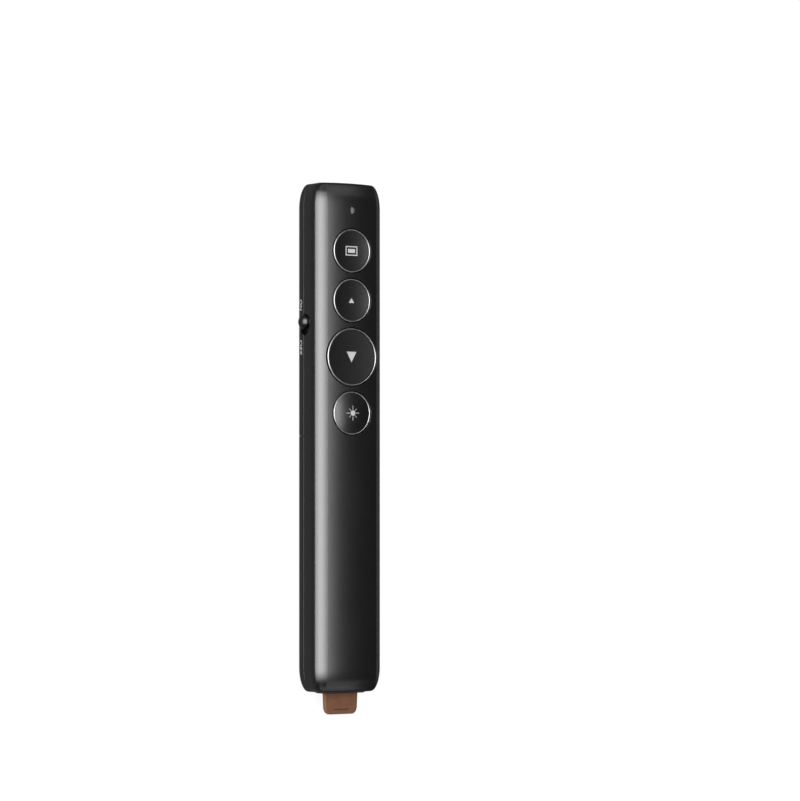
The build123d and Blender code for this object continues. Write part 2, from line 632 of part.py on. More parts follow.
def laser_driver_board():
    width, length, thickness = DRIVER_SIZE
    front_y = BARREL_NOSE_Y - BARREL_LENGTH + DRIVER_INSERT
    spans = ((-width / 2, width / 2), (front_y - length, front_y))
    return block(*spans, (LASER_Z - thickness / 2, LASER_Z + thickness / 2))


def laser_window():
    seat_y = HALF_LENGTH - WALL + WINDOW_THICKNESS
    return bar(WINDOW_RADIUS, 0, LASER_Z, (seat_y - WINDOW_THICKNESS, seat_y))


# ---- power switch ----
def slide_plate_x():
    """Low and high X of the plate that slides inside the left wall."""
    outer = -INNER_HALF_WIDTH + FIT
    return (outer, outer + SLIDE_PLATE[0])


def actuator_spans(clearance=0.0):
    """Y and Z spans of the actuator, grown by clearance."""
    half_y, half_z = [size / 2 + clearance for size in ACTUATOR]
    z = BOARD_TOP_Z + SWITCH_CASE[2] / 2
    return (KNOB_ON_Y - half_y, KNOB_ON_Y + half_y), (z - half_z, z + half_z)


def power_knob():
    """Round domed knob, its neck through the wall and the plate behind the wall."""
    plate_x = slide_plate_x()
    straight = WALL - FIT + KNOB_PROUD - KNOB_DOME + FIT
    outline = chain((0, 0), (KNOB_RADIUS, 0), (KNOB_RADIUS, FIT + straight))
    outline.append(dome_arc(KNOB_RADIUS, FIT + straight, KNOB_DOME))
    outline += chain((0, FIT + straight + KNOB_DOME), (0, 0))
    knob = Pos(plate_x[0], KNOB_ON_Y, SWITCH_Z) * Rot(0, -90, 0) * turned(outline)
    half_y, half_z = SLIDE_PLATE[1] / 2, SLIDE_PLATE[2] / 2
    knob += block(plate_x, (KNOB_ON_Y - half_y, KNOB_ON_Y + half_y), (SLIDE_PLATE_Z - half_z, SLIDE_PLATE_Z + half_z))
    return knob - block((plate_x[0] + SLIDE_PLATE[0] / 4, plate_x[1] + 1), *actuator_spans(TOUCH))


def power_switch_actuator():
    outer = slide_plate_x()[0] + SLIDE_PLATE[0] / 4 + TOUCH
    return block((outer, SWITCH_CASE_OUTER_X + ACTUATOR_INSERT), *actuator_spans())


def power_switch_case():
    width, length, height = SWITCH_CASE
    middle = KNOB_ON_Y - SWITCH_TRAVEL / 2
    spans = ((SWITCH_CASE_OUTER_X, SWITCH_CASE_OUTER_X + width), (middle - length / 2, middle + length / 2))
    case = block(*spans, (BOARD_TOP_Z, BOARD_TOP_Z + height))
    y, z = actuator_spans(RUNNING)
    slot_y = (y[0] - SWITCH_TRAVEL, y[1])
    depth = (SWITCH_CASE_OUTER_X - 1, SWITCH_CASE_OUTER_X + ACTUATOR_INSERT + RUNNING)
    return case - block(depth, slot_y, z)


# ---- cell and contacts ----
def along_cell(solid):
    """Lay an upright solid along the cell, with its Z pointing to the nose."""
    return Pos(0, CELL_REAR_Y, CELL_Z) * Rot(-90, 0, 0) * solid


def cell_can():
    radius = CELL_RADIUS - SLEEVE_THICKNESS
    top = CELL_LENGTH + CELL_NUB_HEIGHT
    outline = chain(
        (0, 0), (radius, 0), (radius, CELL_LENGTH - CELL_SHOULDER), (radius - CELL_SHOULDER, CELL_LENGTH),
        (CELL_NUB_RADIUS, CELL_LENGTH), (CELL_NUB_RADIUS, top), (0, top), (0, 0),
    )
    return along_cell(turned(outline))


def cell_sleeve():
    inner = CELL_RADIUS - SLEEVE_THICKNESS
    length = CELL_LENGTH - 2 * CELL_SHOULDER
    tube = Cylinder(CELL_RADIUS, length) - Cylinder(inner, length)
    return along_cell(Pos(0, 0, CELL_LENGTH / 2) * tube)


def negative_spring():
    """Conical coil between the plate and the cell."""
    height = SPRING_LENGTH - 2 * SPRING_WIRE_RADIUS
    path = Helix(height / SPRING_TURNS, height, SPRING_BASE_RADIUS, cone_angle=SPRING_CONE)
    wire_end = Plane(path @ 0, z_dir=path % 0) * RegularPolygon(SPRING_WIRE_RADIUS, SPRING_WIRE_SIDES)
    coil = sweep(wire_end, path=path, is_frenet=True)
    return Pos(0, PLATE_Y + SPRING_WIRE_RADIUS, CELL_Z) * Rot(-90, 0, 0) * coil


def contact_plate(y):
    """Square plate with its corners rounded to drop between the cradle's walls."""
    half = CONTACT_SIZE / 2
    return block((-half, half), y, (CELL_Z - half, CELL_Z + half)) & bar(CELL_RADIUS, 0, CELL_Z, y)


def negative_plate():
    """Plate behind the spring, with an arm over the frame and a strip along it to the board."""
    strip_x = CRADLE_RADIUS + FRAME_WALL
    low_z = DECK_Z[1] + FIT
    strip_z = (low_z, low_z + STRIP_HEIGHT)
    plate = contact_plate((BULKHEAD_Y, PLATE_Y))
    plate += block((0, strip_x + STRIP_THICKNESS), (BULKHEAD_Y, PLATE_Y), strip_z)
    run = (BULKHEAD_Y, BOARD_REAR_Y + CONTACT_TAB[1])
    plate += block((strip_x, strip_x + STRIP_THICKNESS), run, strip_z)
    clear_of_board = block((strip_x - 1, FAR), (BOARD_REAR_Y - FIT, FAR), (0, BOARD_TOP_Z))
    return plate - clear_of_board


def contact_tab_z():
    """Height span of the contact tab that lies on the board."""
    return (BOARD_TOP_Z, BOARD_TOP_Z + CONTACT_THICKNESS)


def positive_contact():
    plate = contact_plate((CONTACT_Y, CONTACT_Y + CONTACT_THICKNESS))
    tab_half = CONTACT_TAB[0] / 2
    tab_y = (CONTACT_Y, BOARD_REAR_Y + CONTACT_TAB[1])
    return plate + block((-tab_half, tab_half), tab_y, contact_tab_z())


# ---- inner frame ----
def inner_frame():
    rear, front = FRAME_REAR_Y, FRAME_FRONT_Y
    cradle = CRADLE_RADIUS + FRAME_WALL
    bay_y = (PLATE_Y + FIT, front)
    skirt_low, skirt_high = SKIRT_INNER_X, SKIRT_OUTER_X
    frame = block((-skirt_high, skirt_high), (rear, front), DECK_Z)
    frame += bar(cradle, 0, CELL_Z, bay_y)
    frame += block((-cradle, cradle), bay_y, (FRAME_BOTTOM_Z, CELL_Z))
    for side in (-1, 1):
        skirt = sorted((side * skirt_low, side * skirt_high))
        ledge = sorted((side * skirt_low, side * (skirt_high + LEDGE_REACH)))
        frame += block(skirt, (rear, front), (FRAME_BOTTOM_Z, DECK_Z[1]))
        frame += block(ledge, (rear, front), (FRAME_BOTTOM_Z, LEDGE_TOP_Z))
        for step in range(RIB_COUNT):
            y = front - CROSS_WALL - (step + 0.5) * RIB_PITCH
            rib = sorted((side * (cradle - 0.2), side * skirt_high))
            frame += block(rib, (y, y + RIB_THICKNESS), (FRAME_BOTTOM_Z, DECK_Z[1]))
    frame -= bar(CRADLE_RADIUS, 0, CELL_Z, bay_y)
    frame -= block((-CRADLE_RADIUS, CRADLE_RADIUS), bay_y, (0, CELL_Z))
    frame -= block((-cradle, cradle), bay_y, (CRADLE_TOP_Z, FAR))
    for y in ((front - CROSS_WALL, front), (BULKHEAD_Y - CROSS_WALL, BULKHEAD_Y)):
        frame += block((-skirt_high, skirt_high), y, (FRAME_BOTTOM_Z, CRADLE_TOP_Z))
    frame -= block((-CRADLE_RADIUS, CRADLE_RADIUS), (BULKHEAD_Y, bay_y[0]), (0, FAR))
    frame += receiver_socket()
    frame &= INSERT_SPACE
    for side in (-1, 1):
        channel = sorted((side * skirt_high, side * FAR))
        frame -= block(channel, (-FAR, FAR), (LEDGE_TOP_Z, DECK_Z[0]))
    tab_half = CONTACT_TAB[0] / 2 + FIT
    tab_z = contact_tab_z()
    frame -= block((-tab_half, tab_half), (front - CROSS_WALL, FAR), (tab_z[0] - FIT, tab_z[1] + FIT))
    strip_low = DECK_Z[1]
    strip_x = (cradle, cradle + STRIP_THICKNESS + FIT)
    frame -= block(strip_x, (BULKHEAD_Y, FAR), (strip_low, strip_low + STRIP_HEIGHT + 2 * FIT))
    frame -= plug_space(PLUG_CLEARANCE)
    frame -= receiver_opening_inside()
    for x, y in FRAME_SCREWS_AT:
        frame -= post(BOSS_RADIUS + FIT, x, y, (DECK_Z[1], FAR))
        frame -= post(SCREW_HEAD_RADIUS + FIT, x, y, (0, DECK_Z[0]))
        head_y = (y - SCREW_HEAD_RADIUS - FIT, y + SCREW_HEAD_RADIUS + FIT)
        frame -= block(sorted((x, math.copysign(FAR, x))), head_y, (0, DECK_Z[0]))
        frame -= post(SCREW_RADIUS + FIT, x, y, (0, FAR))
    return frame


def plug_space(clearance):
    """Room for the plug, which is the plug itself when clearance is 0."""
    grow = 2 * clearance
    tip = PLUG_TIP_Y + (PLUG_TIP_CLEARANCE if clearance else 0)
    size = (PLUG_WIDTH + grow, PLUG_HEIGHT + grow, PLUG_CORNER + clearance)
    return flat_bar(*size, RECEIVER_Z, (CAP_FRONT_Y - 1, tip))


def receiver_opening_inside():
    """Room for the cap inside the frame, as wide as the opening in the tail."""
    grow = 2 * CAP_CLEARANCE
    size = (CAP_WIDTH + grow, CAP_HEIGHT + grow, CAP_CORNER + CAP_CLEARANCE)
    return flat_bar(*size, RECEIVER_Z, (-HALF_LENGTH - 1, CAP_FRONT_Y + CAP_CLEARANCE))


def receiver_socket():
    """Box round the stowed plug and cap."""
    grow = 2 * (PLUG_CLEARANCE + SOCKET_WALL)
    plug = (PLUG_WIDTH + grow, PLUG_HEIGHT + grow, PLUG_CORNER + SOCKET_WALL)
    socket = flat_bar(*plug, RECEIVER_Z, (CAP_FRONT_Y, BULKHEAD_Y - CROSS_WALL / 2))
    grow = 2 * (CAP_CLEARANCE + SOCKET_WALL)
    cap = (CAP_WIDTH + grow, CAP_HEIGHT + grow, CAP_CORNER + SOCKET_WALL)
    return socket + flat_bar(*cap, RECEIVER_Z, (FRAME_REAR_Y, CAP_FRONT_Y + SOCKET_WALL + CAP_CLEARANCE))


# ---- receiver ----
def receiver_cap():
    cap = flat_bar(CAP_WIDTH, CAP_HEIGHT, CAP_CORNER, RECEIVER_Z, (CAP_END_Y, CAP_FRONT_Y))
    cap = fillet(cap.faces().sort_by(Axis.Y)[0].edges(), CAP_EDGE)
    recess_y = (CAP_FRONT_Y - CAP_RECESS, CAP_FRONT_Y + 1)
    recess = flat_bar(PLUG_WIDTH, PLUG_HEIGHT, PLUG_CORNER, RECEIVER_Z, recess_y)
    tab_half = TAB_WIDTH / 2 + TOUCH
    tab_z = (RECEIVER_Z - TAB_THICKNESS / 2 - TOUCH, RECEIVER_Z + TAB_THICKNESS / 2 + TOUCH)
    slot = block((-tab_half, tab_half), (CAP_END_Y - 1, CAP_END_Y + TAB_ROOT), tab_z)
    return cap - recess - slot


def receiver_plug_shell():
    """Folded metal shell of the plug, open at its tip, with two latch windows in each wide face."""
    rear = CAP_FRONT_Y - CAP_RECESS
    shell = flat_bar(PLUG_WIDTH, PLUG_HEIGHT, PLUG_CORNER, RECEIVER_Z, (rear, PLUG_TIP_Y))
    inner = (PLUG_WIDTH - 2 * PLUG_WALL, PLUG_HEIGHT - 2 * PLUG_WALL, PLUG_CORNER - PLUG_WALL / 2)
    shell -= flat_bar(*inner, RECEIVER_Z, (rear - 1, PLUG_TIP_Y + 1))
    offset_x, back = PLUG_WINDOW_AT
    half = PLUG_WINDOW / 2
    for side in (-1, 1):
        x = (side * offset_x - half, side * offset_x + half)
        y = (PLUG_TIP_Y - back - half, PLUG_TIP_Y - back + half)
        shell -= block(x, y, (RECEIVER_Z - PLUG_HEIGHT, RECEIVER_Z + PLUG_HEIGHT))
    return shell


def blade_z():
    """Height span of the plastic blade that carries the gold contacts."""
    low = RECEIVER_Z - PLUG_HEIGHT / 2 + PLUG_WALL + TOUCH
    return (low, low + TONGUE_BLADE[1])


def receiver_blade():
    half = TONGUE_BLADE[0] / 2
    return block((-half, half), (CAP_FRONT_Y - CAP_RECESS, PLUG_TIP_Y - BLADE_SETBACK), blade_z()) - receiver_gold()


def receiver_gold():
    """Four gold strips let into the top of the blade."""
    width, length, thickness = GOLD_SIZE
    front = PLUG_TIP_Y - BLADE_SETBACK - width
    top = blade_z()[1]
    strips = []
    for step in range(GOLD_COUNT):
        x = (step - (GOLD_COUNT - 1) / 2) * GOLD_PITCH
        strips.append(block((x - width / 2, x + width / 2), (front - length, front), (top - thickness, top)))
    return Part(children=strips)


def receiver_board():
    width, thickness = RECEIVER_BOARD
    low = blade_z()[1] + TOUCH
    gold_end = PLUG_TIP_Y - BLADE_SETBACK - GOLD_SIZE[0] - GOLD_SIZE[1]
    return block((-width / 2, width / 2), (CAP_FRONT_Y - CAP_RECESS, gold_end - FIT), (low, low + thickness))


def leather_tab():
    """Short strap that tapers a little and has rounded outer corners."""
    end_y = CAP_END_Y - TAB_LENGTH
    root_y = CAP_END_Y + TAB_ROOT - TOUCH
    half, end_half = TAB_WIDTH / 2, TAB_END_WIDTH / 2
    outline = Polyline((-half, root_y), (-half, CAP_END_Y), (-end_half, end_y), (end_half, end_y),
                       (half, CAP_END_Y), (half, root_y), (-half, root_y))
    strap = extrude(Pos(0, 0, RECEIVER_Z - TAB_THICKNESS / 2) * make_face(outline), amount=TAB_THICKNESS)
    corners = strap.edges().filter_by(Axis.Z).sort_by(Axis.Y)[:2]
    strap = fillet(corners, TAB_CORNER)
    faces = strap.faces().sort_by(Axis.Z)
    rims = [edge for face in (faces[0], faces[-1]) for edge in face.edges() if edge.center().Y < CAP_END_Y - 0.1]
    return chamfer(rims, TAB_EDGE)


# ---- screws ----
def screw(x, y, seat_z):
    """Pan-head screw driven upwards, its head below seat_z."""
    head_z = seat_z - SCREW_HEAD_HEIGHT
    tip_z = seat_z + SCREW_LENGTH
    outline = chain(
        (0, head_z), (SCREW_HEAD_RADIUS, head_z), (SCREW_HEAD_RADIUS, seat_z), (SCREW_RADIUS, seat_z),
        (SCREW_RADIUS, tip_z), (0, tip_z), (0, head_z),
    )
    return turned(outline, x, y)


def screws(places, seat_z):
    return Part(children=[screw(x, y, seat_z) for x, y in places])


PARTS = {
    "front_cover": front_cover,
    "rear_cover": rear_cover,
    "battery_cover": battery_cover,
    "inner_frame": inner_frame,
    "main_board": main_board,
    "radio_chip": lambda: on_board((CHIP_SIZE, CHIP_SIZE, CHIP_HEIGHT), PARTS_X, PARTS_Y),
    "timing_crystal": lambda: on_board(CRYSTAL_SIZE, PARTS_X - CRYSTAL_FROM_CHIP, PARTS_Y),
    "step_up_coil": step_up_coil,
    "status_lamp": lambda: on_board(LAMP_SIZE, 0, LAMP_Y),
    "light_pipe": light_pipe,
    "laser_barrel": laser_barrel,
    "laser_lens": laser_lens,
    "laser_driver_board": laser_driver_board,
    "laser_window": laser_window,
    "power_knob": power_knob,
    "power_switch_actuator": power_switch_actuator,
    "power_switch_case": power_switch_case,
    "cell_can": cell_can,
    "cell_sleeve": cell_sleeve,
    "negative_spring": negative_spring,
    "negative_plate": negative_plate,
    "positive_contact": positive_contact,
    "receiver_cap": receiver_cap,
    "receiver_plug_shell": receiver_plug_shell,
    "receiver_blade": receiver_blade,
    "receiver_gold": receiver_gold,
    "receiver_board": receiver_board,
    "leather_tab": leather_tab,
    "board_screws": lambda: screws(BOARD_SCREWS_AT, BOARD_BOTTOM_Z),
    "frame_screws": lambda: screws(FRAME_SCREWS_AT, DECK_Z[0]),
}

os.makedirs("parts", exist_ok=True)
for name, make in PARTS.items():
    export_step(make(), f"parts/{name}.step")
for name, y, hole, bulge in BUTTONS:
    export_step(button_cap(y, hole, bulge), f"parts/{name}_button.step")
    export_step(trim_ring(y, hole), f"parts/{name}_trim_ring.step")
    export_step(switch_base(y), f"parts/{name}_switch_base.step")
    export_step(switch_plunger(y), f"parts/{name}_switch_plunger.step")
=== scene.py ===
import logging
import math
from collections.abc import Callable, Iterable, Sequence
from dataclasses import dataclass, field, replace
from enum import Enum

import bmesh
import bpy
from mathutils import Matrix, Vector


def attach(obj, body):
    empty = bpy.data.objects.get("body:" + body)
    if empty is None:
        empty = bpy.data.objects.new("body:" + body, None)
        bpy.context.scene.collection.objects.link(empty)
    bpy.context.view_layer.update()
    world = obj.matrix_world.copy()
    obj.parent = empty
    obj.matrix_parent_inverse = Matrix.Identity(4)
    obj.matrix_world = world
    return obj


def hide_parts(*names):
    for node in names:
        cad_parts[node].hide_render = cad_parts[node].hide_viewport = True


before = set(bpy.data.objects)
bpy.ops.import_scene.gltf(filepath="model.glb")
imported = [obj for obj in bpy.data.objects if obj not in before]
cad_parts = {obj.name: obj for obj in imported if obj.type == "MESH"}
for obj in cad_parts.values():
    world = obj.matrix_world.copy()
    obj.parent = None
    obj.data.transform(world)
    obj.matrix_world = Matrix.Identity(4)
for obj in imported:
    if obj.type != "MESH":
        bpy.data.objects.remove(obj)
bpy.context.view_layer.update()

# Wireless presentation clicker, lying on its back. Sizes are in millimetres, and meshes are in metres.
# X runs across (-X is the side with the power switch), Y along (nose at +Y), Z up through the buttons.

MM = 0.001
LOG = logging.getLogger("clicker")

Point = tuple[float, float, float]
Flat = tuple[float, float]
Loop = list[tuple[float, float, float, float]]  # outline with its outward directions, as (x, y, nx, ny)
Place = Callable[[float, float, float], Point]  # maps two distances across an axis and one along it to a point
Tree = bpy.types.NodeTree
Node = bpy.types.Node
Socket = bpy.types.NodeSocket
Piece = bpy.types.Object


# ---- Mesh kit ----
def put(name: str, data: bpy.types.ID) -> Piece:
    """Adds an object that shows a mesh, text, lamp or camera to the scene."""
    piece = bpy.data.objects.new(name, data)
    bpy.context.scene.collection.objects.link(piece)
    return piece


def raw_piece(name: str, points: Iterable[Point], faces: Iterable[Sequence[int]] = ()) -> Piece:
    """Makes a mesh object with its faces as they are wound.

    Args:
        name: the object's name.
        points: corners in millimetres.
        faces: corner numbers of each face.

    Returns:
        The object.
    """
    mesh = bpy.data.meshes.new(name)
    mesh.from_pydata([Vector(point) * MM for point in points], [], [list(face) for face in faces])
    return put(name, mesh)


def new_piece(name: str, points: Iterable[Point], faces: Iterable[Sequence[int]]) -> Piece:
    """Makes a closed mesh object with its faces turned outwards; it takes what raw_piece takes."""
    return turn_outwards(raw_piece(name, points, faces))


def turn_outwards(piece: Piece, merge: float = 0.0) -> Piece:
    """Turns the faces of a closed mesh outwards.

    Args:
        piece: the object to mend.
        merge: corners nearer than this many millimetres become one first.

    Returns:
        The piece.
    """
    work = bmesh.new()
    work.from_mesh(piece.data)
    if merge:
        bmesh.ops.remove_doubles(work, verts=work.verts, dist=merge * MM)
    bmesh.ops.recalc_face_normals(work, faces=work.faces)
    work.to_mesh(piece.data)
    work.free()
    return piece


def settle(piece: Piece) -> Piece:
    """Turns the modifiers of a piece into plain mesh, takes them off and returns the piece."""
    evaluated = piece.evaluated_get(bpy.context.evaluated_depsgraph_get())
    mesh = bpy.data.meshes.new_from_object(evaluated)
    piece.modifiers.clear()
    piece.data = mesh
    return piece


def discard(pieces: Iterable[Piece]) -> None:
    """Takes helper objects out of the scene."""
    for piece in pieces:
        bpy.data.objects.remove(piece)


def carve(piece: Piece, tools: Sequence[Piece]) -> Piece:
    """Cuts closed tools out of a piece, one after another, and discards them.

    Args:
        piece: the closed mesh that is worked on.
        tools: closed meshes.

    Returns:
        The piece.
    """
    for tool in tools:
        cut = piece.modifiers.new(tool.name, "BOOLEAN")
        cut.operation, cut.solver, cut.object = "DIFFERENCE", "EXACT", tool
    settle(piece)
    discard(tools)
    return piece


def absorb(piece: Piece, others: Sequence[Piece]) -> Piece:
    """Puts the meshes of others into the piece as islands of their own, and discards the others.

    Args:
        piece: the object that takes them in.
        others: closed meshes.

    Returns:
        The piece.
    """
    work = bmesh.new()
    work.from_mesh(piece.data)
    for other in others:
        work.from_mesh(other.data)
    work.to_mesh(piece.data)
    work.free()
    discard(others)
    return piece


def shade(piece: Piece, degrees: float = 32.0) -> Piece:
    """Smooths a piece, apart from edges sharper than an angle in degrees, and returns it."""
    mesh = piece.data
    mesh.shade_smooth()
    mesh.set_sharp_from_angle(angle=math.radians(degrees))
    return piece


def block(name: str, x: Flat, y: Flat, z: Flat) -> Piece:
    """Box between three pairs of limits.

    Args:
        name: the object's name.
        x: low and high limit across.
        y: low and high limit along.
        z: low and high limit in height.

    Returns:
        A closed mesh.
    """
    points = [(a, b, c) for a in x for b in y for c in z]
    faces = [(0, 1, 3, 2), (4, 6, 7, 5), (0, 4, 5, 1), (2, 3, 7, 6), (0, 2, 6, 4), (1, 5, 7, 3)]
    return new_piece(name, points, faces)


def sides(inner: float, outer: float) -> list[Flat]:
    """Limits across, low first, of a pair of features that mirror each other left and right."""
    return [(-outer, -inner), (inner, outer)]


def rings_to_piece(name: str, rings: Sequence[Sequence[Point]], closed: bool = False) -> Piece:
    """Skins a stack of closed loops that have equally many points.

    Args:
        name: the object's name.
        rings: loops from one end to the other.
        closed: True joins the last loop to the first, and False caps both ends.

    Returns:
        A closed mesh.
    """
    count = len(rings[0])
    points = [point for ring in rings for point in ring]
    faces: list[Sequence[int]] = []
    spans = len(rings) if closed else len(rings) - 1
    for step in range(spans):
        low, high = step * count, (step + 1) % len(rings) * count
        for turn in range(count):
            after = (turn + 1) % count
            faces.append((low + turn, low + after, high + after, high + turn))
    if not closed:
        for ring, start in ((rings[0], 0), (rings[-1], (len(rings) - 1) * count)):
            middle = [sum(point[axis] for point in ring) / count for axis in range(3)]
            points.append(tuple(middle))
            faces += [(start + turn, start + (turn + 1) % count, len(points) - 1) for turn in range(count)]
    return new_piece(name, points, faces)


def circle(radius: float, x: float, y: float, steps: int = 96) -> Loop:
    """Points of a circle round (x, y), with their outward directions."""
    turns = [2 * math.pi * step / steps for step in range(steps)]
    return [(x + radius * math.cos(a), y + radius * math.sin(a), math.cos(a), math.sin(a)) for a in turns]


def oblong(length: float, width: float, x: float = 0.0, y: float = 0.0, steps: int = 20) -> Loop:
    """Points of a slot with round ends that is long in y.

    Args:
        length: overall length.
        width: width, and twice the radius of its ends.
        x: its middle.
        y: its middle.
        steps: divisions of each end.

    Returns:
        The points with their outward directions.
    """
    radius = width / 2
    reach = length / 2 - radius
    points = []
    for side, start in ((1, 0), (-1, math.pi)):
        for step in range(steps + 1):
            a = math.pi * step / steps + start
            nx, ny = math.cos(a), math.sin(a)
            points.append((x + radius * nx, y + side * reach + radius * ny, nx, ny))
    return points


def crosswise(loop: Loop) -> Loop:
    """The same loop with its two axes exchanged."""
    return [(v, u, nv, nu) for u, v, nu, nv in loop]


def rounded_box(width: float, height: float, corner: float, steps: int = 8) -> Loop:
    """Points of a rectangle with round corners, round the middle.

    Args:
        width: size in x.
        height: size in y.
        corner: radius of its corners.
        steps: divisions of a corner.

    Returns:
        The points with their outward directions.
    """
    points = []
    for quarter, (side_x, side_y) in enumerate(((1, 1), (-1, 1), (-1, -1), (1, -1))):
        for step in range(steps + 1):
            a = math.pi / 2 * (quarter + step / steps)
            x, y = side_x * (width / 2 - corner), side_y * (height / 2 - corner)
            points.append((x + corner * math.cos(a), y + corner * math.sin(a), math.cos(a), math.sin(a)))
    return points


def turned(name: str, outline: Sequence[Flat], place: Place, steps: int = 96) -> Piece:
    """Turns an outline of (radius, height) points that starts and ends on the axis.

    Args:
        name: the object's name.
        outline: points from the axis, round the section and back to the axis.
        place: where the axis stands.
        steps: divisions of a full turn.

    Returns:
        A closed mesh with one corner at each pole.
    """
    points = [place(0.0, 0.0, outline[0][1])]
    for radius, height in outline[1:-1]:
        for step in range(steps):
            a = 2 * math.pi * step / steps
            points.append(place(radius * math.cos(a), radius * math.sin(a), height))
    points.append(place(0.0, 0.0, outline[-1][1]))
    last, rows = len(points) - 1, len(outline) - 2
    faces: list[Sequence[int]] = []
    for step in range(steps):
        after = (step + 1) % steps
        faces.append((0, 1 + step, 1 + after))
        for row in range(rows - 1):
            low, high = 1 + row * steps, 1 + (row + 1) * steps
            faces.append((low + step, high + step, high + after, low + after))
        faces.append((1 + (rows - 1) * steps + after, 1 + (rows - 1) * steps + step, last))
    return new_piece(name, points, faces)


def rod(name: str, radius: float, span: Flat, place: Place, steps: int = 96) -> Piece:
    """Plain cylinder over a span of its axis; it takes what turned takes."""
    low, high = span
    return turned(name, [(0, low), (radius, low), (radius, high), (0, high)], place, steps)


def hoop(name: str, section: Sequence[Flat], place: Place, steps: int = 128) -> Piece:
    """Turns a closed (radius, height) section that stays clear of the axis; it takes what turned takes."""
    rings = []
    for step in range(steps):
        a = 2 * math.pi * step / steps
        rings.append([place(radius * math.cos(a), radius * math.sin(a), height) for radius, height in section])
    return rings_to_piece(name, rings, closed=True)


RIM_TURNS = [math.radians(16 * step) for step in range(6)]  # angles at which a rounded rim has its rings


def soft_well(
    name: str, loop: Loop, floor: float, surface: Callable[[float, float], float], place: Place,
    rounding: float,
) -> Piece:
    """Cutter for an opening whose rim is rounded and follows the surface that it breaks through.

    Args:
        name: the object's name.
        loop: the opening's outline, seen along the cut.
        floor: depth at which the cut ends.
        surface: height of the surface at a point of the outline plane.
        place: maps outline plane and height to x, y and z.
        rounding: radius of the rim.

    Returns:
        A closed cutter that stands a millimetre proud of the surface.
    """
    stages = [(rounding * (1 - math.cos(a)), -rounding * (1 - math.sin(a))) for a in RIM_TURNS]
    stages.append((rounding * 1.15, 1.0))
    rings = [[place(u, v, floor) for u, v, _, _ in loop]]
    for out, above in stages:
        spread = [(u + du * out, v + dv * out) for u, v, du, dv in loop]
        rings.append([place(u, v, surface(u, v) + above) for u, v in spread])
    return rings_to_piece(name, rings)


def upright(x: float = 0.0, y: float = 0.0) -> Place:
    """Places a turned shape on an upright axis through (x, y)."""
    return lambda u, v, w: (x + u, y + v, w)


def to_nose(x: float, z: float) -> Place:
    """Places a turned shape on an axis along +Y through (x, z)."""
    return lambda u, v, w: (x + u, w, z + v)


def to_tail(z: float) -> Place:
    """Places a turned shape on an axis along -Y at a height."""
    return lambda u, v, w: (u, -w, z + v)


def to_left(y: float, z: float) -> Place:
    """Places a turned shape on an axis along -X through (y, z)."""
    return lambda u, v, w: (-w, y + u, z + v)


def downward(y: float) -> Place:
    """Places a turned shape on a downward axis at a place along the housing."""
    return lambda u, v, w: (u, y + v, -w)


# ---- Materials ----
WHITE = (1.0, 1.0, 1.0, 1.0)
NOISE_MIDDLE = {"From Min": 0.3, "From Max": 0.7}  # most of a noise texture's values lie between these


def linear(code: str) -> tuple[float, float, float, float]:
    """Linear colour, with a full alpha, of an sRGB hex value such as "#1A2B3C"."""
    parts = [int(code[start:start + 2], 16) / 255 for start in (1, 3, 5)]
    return (*[part / 12.92 if part <= 0.04045 else ((part + 0.055) / 1.055) ** 2.4 for part in parts], 1.0)


def per_mm(size: float) -> float:
    """Texture scale on object coordinates at which a feature is about that many millimetres."""
    return 1.0 / (size * MM)


def add(tree: Tree, kind: str, inputs: dict[str | int, object] | None = None, **settings: object) -> Node:
    """Adds a node to a tree.

    Args:
        tree: shader or geometry tree.
        kind: the node's type name.
        inputs: for each input socket, by name or number, a value, an output to link, or a list of outputs.
        **settings: the node's own properties.

    Returns:
        The node.
    """
    node = tree.nodes.new(kind)
    for name, value in settings.items():
        setattr(node, name, value)
    for name, value in (inputs or {}).items():
        if isinstance(value, (list, bpy.types.NodeSocket)):
            for source in value if isinstance(value, list) else [value]:
                tree.links.new(source, node.inputs[name])
        else:
            node.inputs[name].default_value = value
    return node


